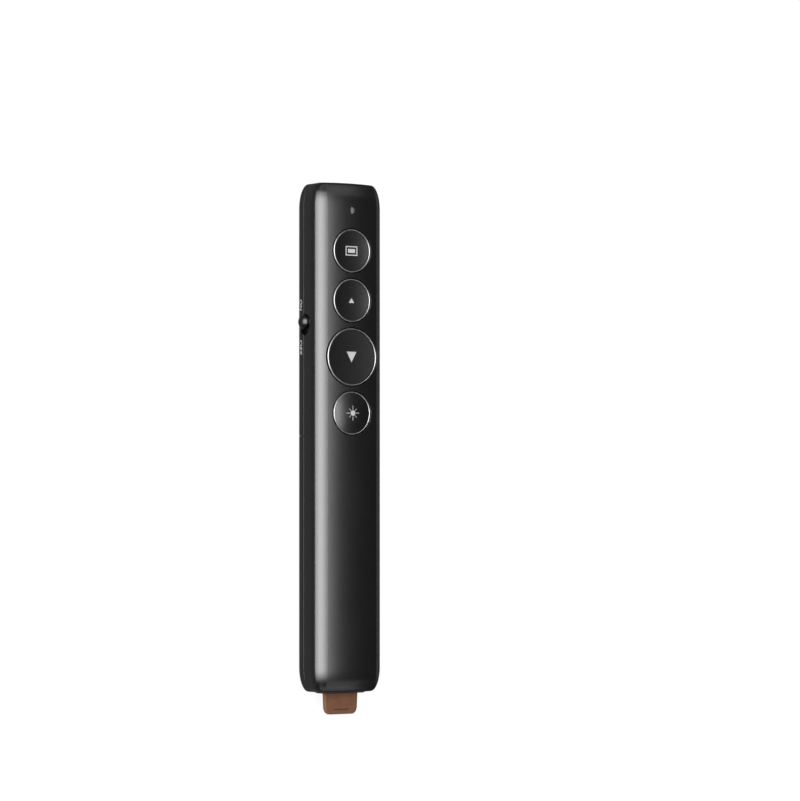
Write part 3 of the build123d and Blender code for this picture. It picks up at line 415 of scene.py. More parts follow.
@dataclass(frozen=True)
class Finish:
    """A real material and how its surface was made.

    Attributes:
        name: the material's name in the file.
        colour: sRGB hex value of the bare colour.
        roughness: mean roughness of the surface.
    """

    name: str
    colour: str
    roughness: float = 0.5

    def material(self) -> bpy.types.Material:
        """Returns the node material, made once."""
        if self.name in bpy.data.materials and bpy.data.materials[self.name].get("dressed"):
            return bpy.data.materials[self.name]
        stale = bpy.data.materials.get(self.name)
        if stale:
            stale.name = self.name + ".packed"
        material = bpy.data.materials.new(self.name)
        material["dressed"] = True
        material.use_nodes = True
        tree = material.node_tree
        tree.nodes.clear()
        inputs = {"Base Color": linear(self.colour), "Roughness": self.roughness}
        shader = add(tree, "ShaderNodeBsdfPrincipled", inputs)
        add(tree, "ShaderNodeOutputMaterial", {"Surface": shader.outputs["BSDF"]})
        self.dress(tree, shader)
        return material

    def dress(self, tree: Tree, shader: Node) -> None:
        """Adds what the process leaves on the surface; a plain finish adds nothing."""

    def tint(self, tree: Tree, shader: Node, share: Socket, low: str, high: str) -> None:
        """Colours the surface by a pattern.

        Args:
            tree: the material's tree.
            shader: its surface shader.
            share: the pattern.
            low: hex value where the pattern is 0.
            high: hex value where it is 1.
        """
        inputs = {0: share, 6: linear(low), 7: linear(high)}
        tone = add(tree, "ShaderNodeMix", inputs, data_type="RGBA").outputs[2]
        tree.links.new(tone, shader.inputs["Base Color"])

    def wear(self, tree: Tree, shader: Node, pattern: Socket, low: float, high: float) -> None:
        """Lets the roughness wander with a pattern.

        Args:
            tree: the material's tree.
            shader: its surface shader.
            pattern: a noise.
            low: roughness at the pattern's low end.
            high: roughness at its high end.
        """
        inputs = {"Value": pattern, **NOISE_MIDDLE, "To Min": low, "To Max": high}
        rough = add(tree, "ShaderNodeMapRange", inputs).outputs["Result"]
        tree.links.new(rough, shader.inputs["Roughness"])

    def relief(self, tree: Tree, shader: Node, height: Socket, depth: float) -> None:
        """Presses a pattern into the surface, to a depth in millimetres."""
        bump = add(tree, "ShaderNodeBump", {"Height": height, "Distance": depth * MM})
        tree.links.new(bump.outputs["Normal"], shader.inputs["Normal"])


@dataclass(frozen=True)
class ErodedPlastic(Finish):
    """ABS or PC moulded in a spark-eroded tool, which leaves an even satin grain and a soft gloss.

    Attributes:
        flow: the slightly lighter tone that the resin's flow leaves.
        ior: refractive index of ABS and polycarbonate.
        film: reflection level; 0.5 is bare resin, and a lacquer film on it reflects up to twice as much.
        cloud: size of the flow clouds.
        grain: grain size; the real 0.05 mm is drawn coarser, because it is too fine to show.
        depth: depth of the grain.
        swing: how far the roughness wanders.
    """

    flow: str = "#101011"
    ior: float = 1.57
    film: float = 0.5
    cloud: float = 9.0
    grain: float = 0.22
    depth: float = 0.0009
    swing: float = 0.006

    def dress(self, tree: Tree, shader: Node) -> None:
        """Adds flow clouds, roughness drift and grain."""
        shader.inputs["Specular IOR Level"].default_value = self.film
        shader.inputs["IOR"].default_value = self.ior
        vector = add(tree, "ShaderNodeTexCoord").outputs["Object"]
        inputs = {"Vector": vector, "Scale": per_mm(self.cloud), "Detail": 3.0}
        clouds = add(tree, "ShaderNodeTexNoise", inputs).outputs["Fac"]
        inputs = {"Vector": vector, "Scale": per_mm(self.grain), "Detail": 4.0}
        grain = add(tree, "ShaderNodeTexNoise", inputs).outputs["Fac"]
        self.tint(tree, shader, clouds, self.colour, self.flow)
        self.wear(tree, shader, clouds, self.roughness - self.swing, self.roughness + self.swing)
        self.relief(tree, shader, grain, self.depth)


@dataclass(frozen=True)
class ClearPlastic(Finish):
    """Polished or milky transparent resin such as PMMA, glossy from the polished tool.

    Attributes:
        transmission: share of light that passes through.
        ior: refractive index.
        cloud: size of the flow clouds.
    """

    transmission: float = 0.5
    ior: float = 1.49
    cloud: float = 0.8

    def dress(self, tree: Tree, shader: Node) -> None:
        """Sets transmission and adds faint flow clouds."""
        shader.inputs["Transmission Weight"].default_value = self.transmission
        shader.inputs["IOR"].default_value = self.ior
        vector = add(tree, "ShaderNodeTexCoord").outputs["Object"]
        inputs = {"Vector": vector, "Scale": per_mm(self.cloud), "Detail": 2.0}
        clouds = add(tree, "ShaderNodeTexNoise", inputs).outputs["Fac"]
        self.wear(tree, shader, clouds, self.roughness * 0.8, self.roughness * 1.2)


@dataclass(frozen=True)
class DrawnMetal(Finish):
    """Sheet, wire or plated metal with the fine streaks of rolling, drawing or stamping.

    Attributes:
        stretch: factors that draw the streaks out along the rolling direction.
        streak: width of a streak; real ones are 0.02 mm and are drawn coarser to show.
        dull: darker tone between streaks.
        depth: depth of a streak.
    """

    stretch: Point = (1.0, 0.05, 1.0)
    streak: float = 0.15
    dull: str = "#8A8A88"
    depth: float = 0.002

    def dress(self, tree: Tree, shader: Node) -> None:
        """Adds streaks to colour, roughness and relief."""
        shader.inputs["Metallic"].default_value = 1.0
        source = add(tree, "ShaderNodeTexCoord").outputs["Object"]
        drawn = add(tree, "ShaderNodeMapping", {"Vector": source, "Scale": self.stretch}).outputs["Vector"]
        inputs = {"Vector": drawn, "Scale": per_mm(self.streak), "Detail": 3.0}
        streaks = add(tree, "ShaderNodeTexNoise", inputs).outputs["Fac"]
        self.tint(tree, shader, streaks, self.dull, self.colour)
        self.wear(tree, shader, streaks, self.roughness * 0.8, self.roughness * 1.25)
        self.relief(tree, shader, streaks, self.depth)


@dataclass(frozen=True)
class TurnedMetal(Finish):
    """Metal cut on a lathe, with fine rings round its axis along Y.

    Attributes:
        feed: distance between tool marks; the real 0.05 mm is drawn coarser to show.
        depth: depth of a mark.
    """

    feed: float = 0.25
    depth: float = 0.003

    def dress(self, tree: Tree, shader: Node) -> None:
        """Adds tool marks as bands along Y."""
        shader.inputs["Metallic"].default_value = 1.0
        vector = add(tree, "ShaderNodeTexCoord").outputs["Object"]
        inputs = {"Vector": vector, "Scale": per_mm(self.feed) / math.pi, "Distortion": 0.4, "Detail": 1.0}
        rings = add(tree, "ShaderNodeTexWave", inputs, bands_direction="Y").outputs["Fac"]
        self.wear(tree, shader, rings, self.roughness * 0.8, self.roughness * 1.3)
        self.relief(tree, shader, rings, self.depth)


@dataclass(frozen=True)
class SolderMask(Finish):
    """Glass-epoxy board under green solder mask, with the tracks showing lighter through it.

    Attributes:
        track: tone of the mask over copper.
        pitch: distance between tracks.
        depth: height of a track.
    """

    track: str = "#1F6B3C"
    pitch: float = 2.2
    depth: float = 0.03

    def dress(self, tree: Tree, shader: Node) -> None:
        """Adds tracks as cell borders with square corners."""
        vector = add(tree, "ShaderNodeTexCoord").outputs["Object"]
        inputs = {"Vector": vector, "Scale": per_mm(self.pitch), "Randomness": 0.75}
        cells = add(tree, "ShaderNodeTexVoronoi", inputs, feature="F1", distance="CHEBYCHEV")
        inputs = {"Value": cells.outputs["Distance"], "From Min": 0.44, "From Max": 0.47}
        lines = add(tree, "ShaderNodeMapRange", inputs).outputs["Result"]
        self.tint(tree, shader, lines, self.colour, self.track)
        self.relief(tree, shader, lines, self.depth)


@dataclass(frozen=True)
class MouldedResin(Finish):
    """Filled epoxy or ceramic body, matt and finely speckled from its filler.

    Attributes:
        speck: tone of the filler.
        grit: size of a speck.
        depth: depth of the dry grain.
    """

    speck: str = "#2B2B2D"
    grit: float = 0.12
    depth: float = 0.004

    def dress(self, tree: Tree, shader: Node) -> None:
        """Adds filler specks and a dry grain."""
        vector = add(tree, "ShaderNodeTexCoord").outputs["Object"]
        inputs = {"Vector": vector, "Scale": per_mm(self.grit), "Detail": 2.0}
        specks = add(tree, "ShaderNodeTexNoise", inputs).outputs["Fac"]
        share = add(tree, "ShaderNodeMapRange", {"Value": specks, **NOISE_MIDDLE}).outputs["Result"]
        self.tint(tree, shader, share, self.colour, self.speck)
        self.relief(tree, shader, specks, self.depth)


@dataclass(frozen=True)
class WoundDrum(Finish):
    """Ferrite drum with enamelled copper wire on its waist: the wire shows between the two dark flanges.

    Attributes:
        wire: colour of the enamel.
        wire_z: heights between which the wire lies.
        gauge: wire thickness.
        depth: depth of the valleys between turns.
    """

    wire: str = "#9A4A1E"
    wire_z: Flat = (5.2, 6.2)
    gauge: float = 0.18
    depth: float = 0.05

    def dress(self, tree: Tree, shader: Node) -> None:
        """Colours the waist by height and adds the turns of wire."""
        vector = add(tree, "ShaderNodeTexCoord").outputs["Object"]
        height = add(tree, "ShaderNodeSeparateXYZ", {"Vector": vector}).outputs["Z"]
        middle, half = sum(self.wire_z) / 2 * MM, (self.wire_z[1] - self.wire_z[0]) / 2 * MM
        off = add(tree, "ShaderNodeMath", {0: height, 1: middle}, operation="SUBTRACT").outputs[0]
        away = add(tree, "ShaderNodeMath", {0: off}, operation="ABSOLUTE").outputs[0]
        on_waist = add(tree, "ShaderNodeMath", {0: away, 1: half}, operation="LESS_THAN").outputs[0]
        self.tint(tree, shader, on_waist, self.colour, self.wire)
        inputs = {"Vector": vector, "Scale": per_mm(self.gauge) / math.pi}
        turns = add(tree, "ShaderNodeTexWave", inputs, bands_direction="Z").outputs["Fac"]
        self.relief(tree, shader, turns, self.depth)


@dataclass(frozen=True)
class PrintedFilm(Finish):
    """Shrunk PVC film round a cell, gloss printed: one plain colour with a band at the positive end.

    Attributes:
        band: colour of the band.
        band_y: where the band starts.
        peel: size of the orange peel.
        depth: depth of the orange peel.
    """

    band: str = "#C9CCCF"
    band_y: float = -10.5
    peel: float = 0.6
    depth: float = 0.01

    def dress(self, tree: Tree, shader: Node) -> None:
        """Adds the band and the film's slight orange peel."""
        vector = add(tree, "ShaderNodeTexCoord").outputs["Object"]
        along = add(tree, "ShaderNodeSeparateXYZ", {"Vector": vector}).outputs["Y"]
        inputs = {0: along, 1: self.band_y * MM}
        on_band = add(tree, "ShaderNodeMath", inputs, operation="GREATER_THAN").outputs[0]
        self.tint(tree, shader, on_band, self.colour, self.band)
        inputs = {"Vector": vector, "Scale": per_mm(self.peel), "Detail": 2.0}
        self.relief(tree, shader, add(tree, "ShaderNodeTexNoise", inputs).outputs["Fac"], self.depth)


@dataclass(frozen=True)
class PadPrint(Finish):
    """Two-part ink pressed on with a silicone pad: flat and matt, a little thinner in places.

    Attributes:
        thin: tone where the film is thin.
        patch: size of a thin place.
    """

    thin: str = "#949496"
    patch: float = 0.25

    def dress(self, tree: Tree, shader: Node) -> None:
        """Adds thin places in the ink film."""
        vector = add(tree, "ShaderNodeTexCoord").outputs["Object"]
        inputs = {"Vector": vector, "Scale": per_mm(self.patch), "Detail": 3.0}
        film = add(tree, "ShaderNodeTexNoise", inputs).outputs["Fac"]
        share = add(tree, "ShaderNodeMapRange", {"Value": film, **NOISE_MIDDLE}).outputs["Result"]
        self.tint(tree, shader, share, self.thin, self.colour)


@dataclass(frozen=True)
class Leather(Finish):
    """Coated split leather: fine embossed grain, soft sheen, and tone that drifts with the hide.

    Attributes:
        deep: tone in the grain's valleys.
        pale: paler tone where the hide drifts, and of the rounded cut edge, painted paler as a highlight where it
            catches light and for the thinner coat there.
        scorched: darker tone of the pressed line, painted shade in its groove and the darkening of the hot tool.
        grain: size of a grain cell.
        depth: depth of the grain.
        swing: how far the roughness wanders.
        burn: place along Y, half width and half length of the pressed line that is painted darker.
        burn_blur: how far the line fades outside and inside its edge.
    """

    deep: str = "#4C2F20"
    pale: str = "#6E4933"
    scorched: str = "#3A2216"
    grain: float = 0.42
    depth: float = 0.02
    swing: float = 0.05
    burn: Point = (-80.3, 0.22, 2.5)
    burn_blur: Flat = (0.12, 0.08)

    def burnt(self, tree: Tree, vector: Socket) -> Socket:
        """Follows the pressed line, painted darker as shade in its groove and for the hot tool's mark.

        Args:
            tree: the material's tree.
            vector: object coordinates.

        Returns:
            Share of the mark, 1 along its line.
        """
        place = add(tree, "ShaderNodeSeparateXYZ", {"Vector": vector}).outputs
        outside, inside = self.burn_blur
        marks = []
        for axis, middle, half in (("Y", self.burn[0], self.burn[1]), ("X", 0.0, self.burn[2])):
            off = add(tree, "ShaderNodeMath", {0: place[axis], 1: middle * MM}, operation="SUBTRACT").outputs[0]
            away = add(tree, "ShaderNodeMath", {0: off}, operation="ABSOLUTE").outputs[0]
            inputs = {"Value": away, "From Min": (half + outside) * MM, "From Max": (half - inside) * MM}
            marks.append(add(tree, "ShaderNodeMapRange", inputs).outputs["Result"])
        return add(tree, "ShaderNodeMath", {0: marks[0], 1: marks[1]}, operation="MULTIPLY").outputs[0]

    def dress(self, tree: Tree, shader: Node) -> None:
        """Adds grain cells, tone drift, the pressed line painted darker as shade in its groove and scorch, and the
        cut edge painted paler as a highlight and thinner coat.
        """
        shader.inputs["Specular IOR Level"].default_value = 0.28
        shader.inputs["Sheen Weight"].default_value = 0.05
        shader.inputs["Sheen Roughness"].default_value = 0.45
        coordinates = add(tree, "ShaderNodeTexCoord").outputs
        vector = coordinates["Object"]
        inputs = {"Vector": vector, "Scale": per_mm(self.grain)}
        cells = add(tree, "ShaderNodeTexVoronoi", inputs, feature="DISTANCE_TO_EDGE").outputs["Distance"]
        valleys = add(tree, "ShaderNodeMapRange", {"Value": cells, "From Max": 0.16}).outputs["Result"]
        inputs = {"Vector": vector, "Scale": per_mm(2.5), "Detail": 3.0}
        hide = add(tree, "ShaderNodeTexNoise", inputs).outputs["Fac"]
        inputs = {"Value": hide, **NOISE_MIDDLE, "To Max": 0.35}
        drift = add(tree, "ShaderNodeMapRange", inputs).outputs["Result"]
        # painted highlight: faces that tilt away from flat, along the rounded cut edge, are painted paler where
        # they catch light, and for the thinner coat there
        up = add(tree, "ShaderNodeSeparateXYZ", {"Vector": coordinates["Normal"]}).outputs["Z"]
        lying = add(tree, "ShaderNodeMath", {0: up}, operation="ABSOLUTE").outputs[0]
        inputs = {"Value": lying, "From Min": 0.98, "From Max": 0.5}
        cut = add(tree, "ShaderNodeMapRange", inputs).outputs["Result"]
        # painted shade: the pressed line is painted darker where shade falls in its groove, and for the hot tool's
        # darkening
        burnt = self.burnt(tree, vector)
        tone: Socket | tuple[float, float, float, float] = linear(self.deep)
        for share, colour in (
            (valleys, self.colour), (drift, self.pale), (burnt, self.scorched), (cut, self.pale),
        ):
            inputs = {0: share, 6: tone, 7: linear(colour)}
            tone = add(tree, "ShaderNodeMix", inputs, data_type="RGBA").outputs[2]
        tree.links.new(tone, shader.inputs["Base Color"])
        inputs = {"Vector": vector, "Scale": per_mm(1.2), "Detail": 2.0}
        bend = add(tree, "ShaderNodeTexNoise", inputs).outputs["Fac"]
        self.wear(tree, shader, bend, self.roughness - self.swing, self.roughness + self.swing)
        self.relief(tree, shader, valleys, self.depth)


@dataclass(frozen=True)
class SweepPaper(Finish):
    """Matt white studio paper: plain white to the eye, with the object's own soft shadow left on it.

    Attributes:
        lift: share of its white that doesn't depend on the lamps.
        white: strength of the even white, just above white so that the lamps' fall-off doesn't show.
        mirrored: how bright the paper looks in polished surfaces, beside the object and far from it; the brighter
            band beside the object is a painted reflection, a pool of light that only reflections see.
        mirrored_reach: distances from the middle across which that painted brightness falls off.
    """

    lift: float = 0.7
    white: float = 1.2
    mirrored: Flat = (0.17, 0.03)
    mirrored_reach: Flat = (18.0, 60.0)

    def dress(self, tree: Tree, shader: Node) -> None:
        """Mixes paper lit by the lamps with even white for what sees it directly, and with a painted reflection,
        brighter beside the object, for polished surfaces.
        """
        path = add(tree, "ShaderNodeLightPath").outputs
        seen = path["Is Camera Ray"]
        inputs = {0: path["Is Glossy Ray"], 1: path["Is Transmission Ray"]}
        mirror = add(tree, "ShaderNodeMath", inputs, operation="MAXIMUM").outputs[0]
        vector = add(tree, "ShaderNodeTexCoord").outputs["Object"]
        place = add(tree, "ShaderNodeSeparateXYZ", {"Vector": vector}).outputs["X"]
        away = add(tree, "ShaderNodeMath", {0: place}, operation="ABSOLUTE").outputs[0]
        # painted reflection: polished surfaces see the paper brighter beside the object than far from it, a pool
        # of light painted for reflections only
        inputs = {
            "Value": away, "From Min": self.mirrored_reach[0] * MM, "From Max": self.mirrored_reach[1] * MM,
            "To Min": self.mirrored[0], "To Max": self.mirrored[1],
        }
        image = add(tree, "ShaderNodeMapRange", inputs).outputs["Result"]
        inputs = {0: seen, 2: image, 3: self.white}
        strength = add(tree, "ShaderNodeMix", inputs, data_type="FLOAT").outputs[0]
        white = add(tree, "ShaderNodeEmission", {"Color": WHITE, "Strength": strength}).outputs["Emission"]
        inputs = {0: seen, 1: self.lift, 2: mirror}
        share = add(tree, "ShaderNodeMath", inputs, operation="MULTIPLY_ADD").outputs[0]
        mixed = add(tree, "ShaderNodeMixShader", {0: share, 1: shader.outputs["BSDF"], 2: white})
        output = next(node for node in tree.nodes if node.bl_idname == "ShaderNodeOutputMaterial")
        tree.links.new(mixed.outputs["Shader"], output.inputs["Surface"])


PRINT = PadPrint("legend_print", "#A9A9AB", 0.55)
FINISHES: dict[str, Finish] = {
    finish.name: finish
    for finish in (
        ErodedPlastic("satin_black_shell", "#060607", 0.24, flow="#09090A", film=1.0),
        ErodedPlastic("button_black", "#060607", 0.25, flow="#09090A", film=1.0, depth=0.0008),
        DrawnMetal("bright_trim", "#E2E2E4", 0.29, dull="#C8C8CA"),
        ErodedPlastic("knob_black", "#040405", 0.27, flow="#060607", film=0.7, depth=0.0006),
        ErodedPlastic("inner_black", "#111112", 0.5, flow="#18181A", grain=0.4, depth=0.004),
        SolderMask("board_laminate", "#12472A", 0.35),
        MouldedResin("chip_resin", "#18181A", 0.55),
        ErodedPlastic("switch_case_black", "#161617", 0.45, flow="#1E1E20"),
        ErodedPlastic("plunger_white", "#D9D7CF", 0.4, flow="#E4E2DA"),
        DrawnMetal("contact_steel", "#C9C7C0", 0.28),
        DrawnMetal("crystal_can", "#D2D2D0", 0.22, stretch=(0.05, 1.0, 1.0)),
        WoundDrum("ferrite", "#2A2A2C", 0.5),
        MouldedResin("lamp_body", "#E6E1D2", 0.35, speck="#F0ECDD"),
        ClearPlastic("light_pipe_clear", "#66676A", 0.35, transmission=0.15),
        TurnedMetal("barrel_brass", "#D8B25A", 0.25),
        ClearPlastic("lens_clear", "#F4F6F8", 0.02, transmission=1.0, ior=1.52),
        ClearPlastic("window_clear", "#3A0E10", 0.05, transmission=0.7),
        DrawnMetal("cell_steel", "#C8C9CA", 0.25),
        PrintedFilm("cell_print", "#24557E", 0.25),
        ErodedPlastic("cap_black", "#070708", 0.36, flow="#0A0A0B", film=0.8),
        DrawnMetal("plug_steel", "#CDCDCB", 0.24),
        ErodedPlastic("blade_black", "#141415", 0.4, flow="#1A1A1C"),
        DrawnMetal("gold", "#E8B65A", 0.2, dull="#D9A548"),
        Leather("brown_leather", "#5F3E2B", 0.6),
        DrawnMetal("screw_steel", "#A9A9A6", 0.3, stretch=(1.0, 1.0, 0.1)),
    )
}


def finish_piece(
    piece: Piece, slot: str | None, body: str, stands_for: Sequence[str] = (), finish: Finish | None = None,
) -> None:
    """Dresses a piece and hangs it on its body.

    Args:
        piece: the object, in place.
        slot: the record's material slot, or None for an ink that the record has no slot for.
        body: the body that carries it.
        stands_for: CAD nodes that it takes the place of.
        finish: a finish other than the slot's own.
    """
    chosen = finish or FINISHES[slot]
    piece.data.materials.clear()
    piece.data.materials.append(chosen.material())
    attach(piece, body)
    if stands_for:
        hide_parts(*stands_for)
    LOG.info("%s: %d faces, %s, on %s", piece.name, len(piece.data.polygons), chosen.name, body)


# ---- Housing ----
# Divisions of the form's mesh: floor, corner, side and crown of the section, then rounded end and length.
FLOOR_STEPS, CORNER_STEPS, SIDE_STEPS, CROWN_STEPS = 7, 14, 5, 14
END_STEPS, LENGTH_STEPS = 14, 90
END_SHARES = (0.82, 0.64, 0.46, 0.28, 0.1)  # sizes of the loops that close an end face
PLAN_STEPS, PLAN_FACE_STEPS = 18, 13  # divisions of the plan outline's corner and end face

# Limits of cutters that reach past the housing: across, along and in height.
WIDE, LONG, TALL = (-20.0, 20.0), (-90.0, 90.0), (-5.0, 20.0)

# Place along Y and radius of each button's hole.
HOLES: dict[str, Flat] = {
    "screen": (55.05, 6.7), "page_up": (40.45, 6.7), "page_down": (23.8, 8.8), "laser": (7.25, 6.7),
}
# Place across and place along Y of the pairs of screws in the board and in the inner frame.
BOARD_SCREWS: Sequence[Flat] = ((7.9, 14.475), (7.9, 47.75))
FRAME_SCREWS: Sequence[Flat] = ((7.9, -52.75), (7.9, -3.05))


@dataclass(frozen=True)
class HousingForm:
    """Outer form of the housing, or a form inset inside it: round corners, crowned face, elliptical ends.

    Attributes:
        half_width: half the width.
        height: highest line of the crowned face.
        corner: radius of the long corners.
        crown: radius of the arch across the face.
        half_length: half the length.
        end_run: length of the rounded ends.
        end_depth: how far the ends are drawn in.
        end_bow: bow of the end faces seen from above.
        inset: distance of the whole form inside the outer one.
    """

    half_width: float = 11.8
    height: float = 13.6
    corner: float = 4.0
    crown: float = 70.0
    half_length: float = 75.15
    end_run: float = 7.4
    end_depth: float = 2.7
    end_bow: float = 0.25
    inset: float = 0.0

    @property
    def corner_x(self) -> float:
        """Across position of the corners' centres."""
        return self.half_width - self.corner

    @property
    def tilt(self) -> float:
        """Angle at which the crown meets the corners."""
        return math.asin(self.corner_x / (self.crown - self.corner))

    @property
    def high_z(self) -> float:
        """Height of the upper corners' centres."""
        return self.height - self.crown + (self.crown - self.corner) * math.cos(self.tilt)

    def section(self) -> Loop:
        """Points of the uninset section with outward directions, as (x, z, nx, nz)."""
        half = [(self.corner_x * step / FLOOR_STEPS, 0.0, 0.0, -1.0) for step in range(FLOOR_STEPS)]
        low, high = (self.corner, -math.pi / 2, 0.0), (self.high_z, 0.0, math.pi / 2 - self.tilt)
        for centre_z, start, end in (low, high):
            for step in range(CORNER_STEPS + 1):
                a = start + (end - start) * step / CORNER_STEPS
                n = (math.cos(a), math.sin(a))
                half.append((self.corner_x + self.corner * n[0], centre_z + self.corner * n[1], *n))
            if centre_z == self.corner:
                for step in range(1, SIDE_STEPS):
                    z = self.corner + (self.high_z - self.corner) * step / SIDE_STEPS
                    half.append((self.half_width, z, 1.0, 0.0))
        for step in range(1, CROWN_STEPS + 1):
            a = self.tilt * (1 - step / CROWN_STEPS)
            n = (math.sin(a), math.cos(a))
            half.append((self.crown * n[0], self.height - self.crown + self.crown * n[1], *n))
        mirrored = [(-x, z, -nx, nz) for x, z, nx, nz in reversed(half[1:-1])]
        return half + mirrored

    def drawn_in(self, turn: float) -> float:
        """Extra inset at an angle of the elliptical ends, 0 where they start."""
        return self.end_depth * (1 - math.cos(turn))

    def bow(self, x: float) -> float:
        """How far the end face stands back from the nose at x."""
        return self.end_bow * (x / self.half_width) ** 2

    def end_y(self, x: float, _z: float = 0.0) -> float:
        """Distance of the end face from the middle at x."""
        return self.half_length - self.bow(x)

    def station(self, turn: float, end: int) -> list[Point]:
        """Loop of points round the form at an angle of an elliptical end.

        Args:
            turn: the angle, 0 where the end starts.
            end: 1 at the nose and -1 at the tail.

        Returns:
            The points.
        """
        run = self.end_run - self.inset
        start = self.half_length - self.end_run
        in_by = self.inset + self.drawn_in(turn)
        loop = []
        for x, z, nx, nz in self.section():
            px, pz = x - nx * in_by, z - nz * in_by
            along = start + run * math.sin(turn) - self.bow(px) * math.sin(turn) ** 2
            loop.append((px, end * along, pz))
        return loop

    def shrunk(self, ring: list[Point], share: float, end: int) -> list[Point]:
        """Smaller loop on an end face.

        Args:
            ring: the loop at the face's edge.
            share: size of the smaller one.
            end: 1 at the nose and -1 at the tail.

        Returns:
            The points.
        """
        centre_z = self.height / 2
        tip = max(abs(point[1]) + self.bow(point[0]) for point in ring)
        inner = [(x * share, centre_z + (z - centre_z) * share) for x, _, z in ring]
        return [(x, end * (tip - self.bow(x)), z) for x, z in inner]

    def solid(self, name: str) -> Piece:
        """Skins the whole form.

        Args:
            name: the object's name.

        Returns:
            A closed mesh.
        """
        start = self.half_length - self.end_run
        turns = [math.pi / 2 * step / END_STEPS for step in range(1, END_STEPS + 1)]
        middle = [start * (2 * step / LENGTH_STEPS - 1) for step in range(LENGTH_STEPS + 1)]
        rings = [self.station(turn, -1) for turn in reversed(turns)]
        inset = [(x - nx * self.inset, z - nz * self.inset) for x, z, nx, nz in self.section()]
        rings += [[(x, y, z) for x, z in inset] for y in middle]
        rings += [self.station(turn, 1) for turn in turns]
        tail = [self.shrunk(rings[0], share, -1) for share in reversed(END_SHARES)]
        nose = [self.shrunk(rings[-1], share, 1) for share in END_SHARES]
        return rings_to_piece(name, tail + rings + nose)

    def outline(self, inset: float = 0.0) -> Loop:
        """Plan outline of the straight sides.

        Args:
            inset: distance inside the form.

        Returns:
            The points with their outward directions.
        """
        form = replace(self, inset=self.inset + inset)
        start, run = form.half_length - form.end_run, form.end_run - form.inset
        nose = []
        for step in range(PLAN_STEPS + 1):
            turn = math.pi / 2 * step / PLAN_STEPS
            x = form.half_width - form.inset - form.drawn_in(turn)
            nose.append((x, start + run * math.sin(turn) - form.bow(x) * math.sin(turn) ** 2))
        corner, width = list(nose), nose[-1][0]
        for step in range(1, PLAN_FACE_STEPS):
            x = width * (1 - 2 * step / PLAN_FACE_STEPS)
            nose.append((x, start + run - form.bow(x)))
        nose += [(-x, y) for x, y in reversed(corner)]
        loop = nose + [(-x, -y) for x, y in nose]
        points = []
        for at, (x, y) in enumerate(loop):
            before, after = loop[at - 1], loop[(at + 1) % len(loop)]
            along = Vector((after[0] - before[0], after[1] - before[1])).normalized()
            points.append((x, y, along.y, -along.x))
        return points

    def face_z(self, x: float, _y: float = 0.0) -> float:
        """Height of the crowned face and its corners at a place across."""
        x = abs(x)
        if x <= self.crown * math.sin(self.tilt):
            return self.height - self.crown + math.sqrt(self.crown**2 - x**2)
        reach = min(x - self.corner_x, self.corner)
        return self.high_z + math.sqrt(self.corner**2 - reach**2)

    def side_x(self, z: float) -> float:
        """Half width of the lower part of the housing at a height."""
        if z >= self.corner:
            return self.half_width
        return self.corner_x + math.sqrt(self.corner**2 - (z - self.corner) ** 2)

    def skin_normal(self, point: Vector, slack: float = 0.03) -> Vector | None:
        """Exact direction of the outer skin.

        Args:
            point: a point in millimetres.
            slack: how far from the skin it may lie.

        Returns:
            The outward direction, or None where the point isn't on the skin.
        """
        x, z = point.x, point.z
        arch = math.atan2(x, z - self.height + self.crown)
        if abs(arch) <= self.tilt and z > self.height / 2:
            depth = math.hypot(x, z - self.height + self.crown) - self.crown
            n = (math.sin(arch), math.cos(arch))
        elif abs(x) > self.corner_x and (z > self.high_z or z < self.corner):
            centre = (math.copysign(self.corner_x, x), self.high_z if z > self.high_z else self.corner)
            off = Vector((x - centre[0], z - centre[1]))
            depth = off.length - self.corner
            n = tuple(off.normalized())
        elif self.half_width - abs(x) < min(z, self.height - z):
            depth = abs(x) - self.half_width
            n = (math.copysign(1.0, x), 0.0)
        else:
            depth, n = -z, (0.0, -1.0)
        start = self.half_length - self.end_run
        share = 0.0
        for _ in range(4):  # the bow depends on the share itself, and a few rounds settle it
            along = (abs(point.y) + self.bow(x) * share**2 - start) / self.end_run
            share = min(max(along, 0.0), 1.0)
        turn = math.asin(share)
        on_side = abs(depth + self.drawn_in(turn)) < slack
        on_end = share > 0.999 and depth < -self.end_depth + slack
        if not (on_side or on_end):
            return None
        out = Vector((self.end_depth * math.sin(turn), self.end_run * math.cos(turn))).normalized()
        if share <= 0.0:
            out = Vector((0.0, 1.0))
        lean = 2 * self.end_bow * x / self.half_width**2 * share**2
        side = math.copysign(1.0, point.y)
        return Vector((n[0] * out.y + out.x * lean, out.x * side, n[1] * out.y)).normalized()


